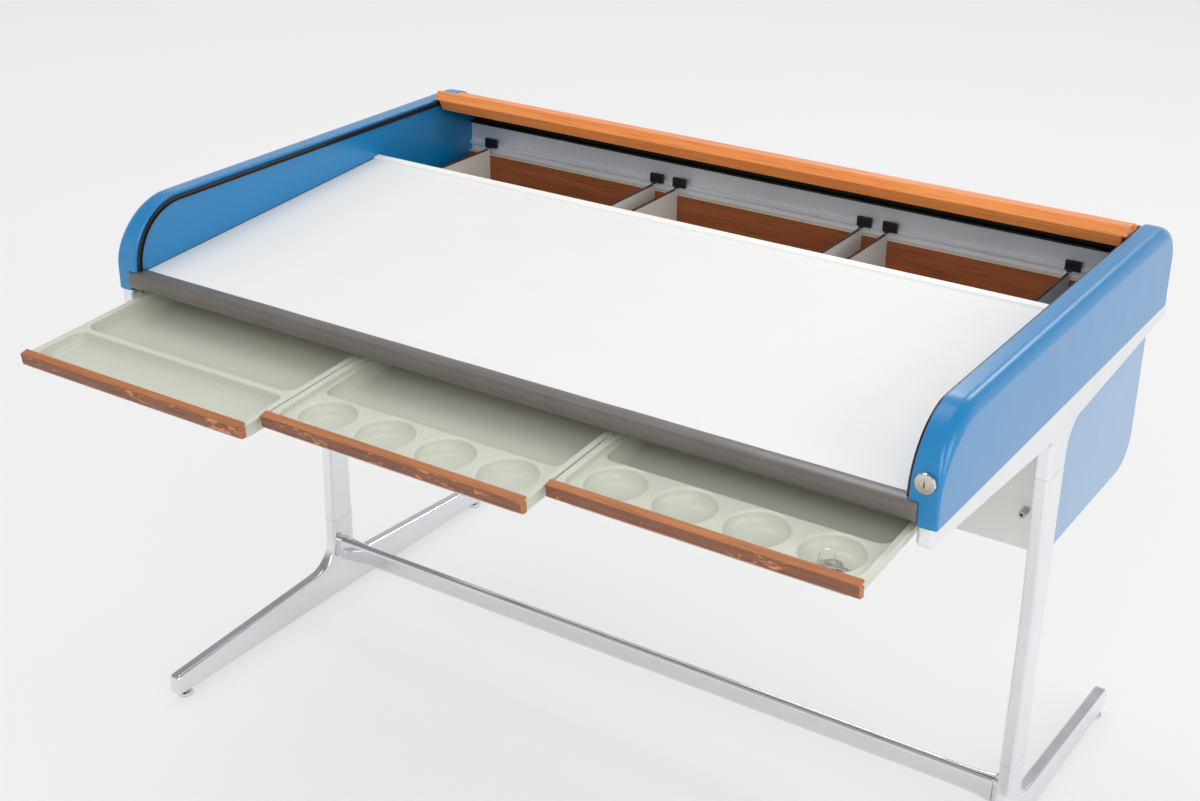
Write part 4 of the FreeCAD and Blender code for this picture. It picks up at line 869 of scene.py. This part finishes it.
rays = add(tree, "LightPath")
ambient = add(tree, "Background", {"Color": linear("#FFFFFF"), "Strength": 0.745})
aim = add(tree, "SeparateXYZ", {0: add(tree, "TexCoord").outputs["Generated"]})
height = add(tree, "MapRange", {"Value": aim.outputs["Z"], "From Min": 0.05, "From Max": 0.6})
walls = add(tree, "Mix", {FACTOR: height.outputs["Result"], FIRST: linear("#F2F3F5"),
                          SECOND: linear("#8E9094")}, data_type="RGBA")
room = add(tree, "Background", {"Color": walls.outputs[MIXED], "Strength": 1.0})
white = add(tree, "Background", {"Color": linear("#F4F4F5"), "Strength": 1.0})
lit = add(tree, "MixShader", {0: rays.outputs["Is Glossy Ray"], 1: ambient.outputs[0],
                              2: room.outputs[0]})
both = add(tree, "MixShader", {0: rays.outputs["Is Camera Ray"], 1: lit.outputs[0],
                               2: white.outputs[0]})
add(tree, "OutputWorld", {"Surface": both.outputs[0]})


def softbox(name, place, target, wide, watts):
    """Square lamp, in metres, turned to face a target."""
    lamp = bpy.data.lights.new(name, "AREA")
    lamp.shape = "SQUARE"
    lamp.size = wide
    lamp.energy = watts
    held = bpy.data.objects.new(name, lamp)
    scene.collection.objects.link(held)
    held.location = place
    held.rotation_euler = (Vector(target) - Vector(place)).to_track_quat("-Z", "Y").to_euler()


softbox("top_softbox", (-1.7, 1.0, 5.0), (0, 0, 0.7), wide=2.4, watts=31)
softbox("front_softbox", (1.6, -3.8, 3.3), (0, 0.1, 0.75), wide=2.4, watts=54)
softbox("right_softbox", (4.2, -0.6, 2.2), (0.4, 0, 0.7), wide=2.0, watts=36)
for name, across in (("left", -1.3), ("right", 0.6)):
    softbox(name + "_back_softbox", (across, 3.8, 3.4), (0, 0, 0.7), wide=0.9, watts=16)

# Camera of the photograph: its width and focal length in pixels, its place in
# metres from the panel front, and how far it is turned, lowered and rolled.
PHOTO_WIDE, FOCAL_PIXELS, SENSOR_WIDE = 1200, 1771.2, 36
EYE = Vector((1.22745, -1.57336, 1.62626))
TURN, DROP, ROLL = (math.radians(angle) for angle in (33.352, 25.219, 0.511))
back = Vector((math.sin(TURN)*math.cos(DROP), -math.cos(TURN)*math.cos(DROP), math.sin(DROP)))
across = (-back).cross(Vector((0, 0, 1))).normalized()
rise = across.cross(-back)
right = across*math.cos(ROLL) + rise*math.sin(ROLL)
up = rise*math.cos(ROLL) - across*math.sin(ROLL)
view = bpy.data.cameras.new("photo_view")
view.sensor_fit = "HORIZONTAL"
view.sensor_width = SENSOR_WIDE
view.lens = SENSOR_WIDE*FOCAL_PIXELS/PHOTO_WIDE
view.clip_start = 0.05
view.clip_end = 100
eye = bpy.data.objects.new("photo_view", view)
scene.collection.objects.link(eye)
turned = Matrix((right, up, back)).transposed().to_4x4()
turned.translation = EYE + Vector((0, panel_front, 0))
eye.matrix_world = turned
scene.camera = eye

low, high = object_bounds()
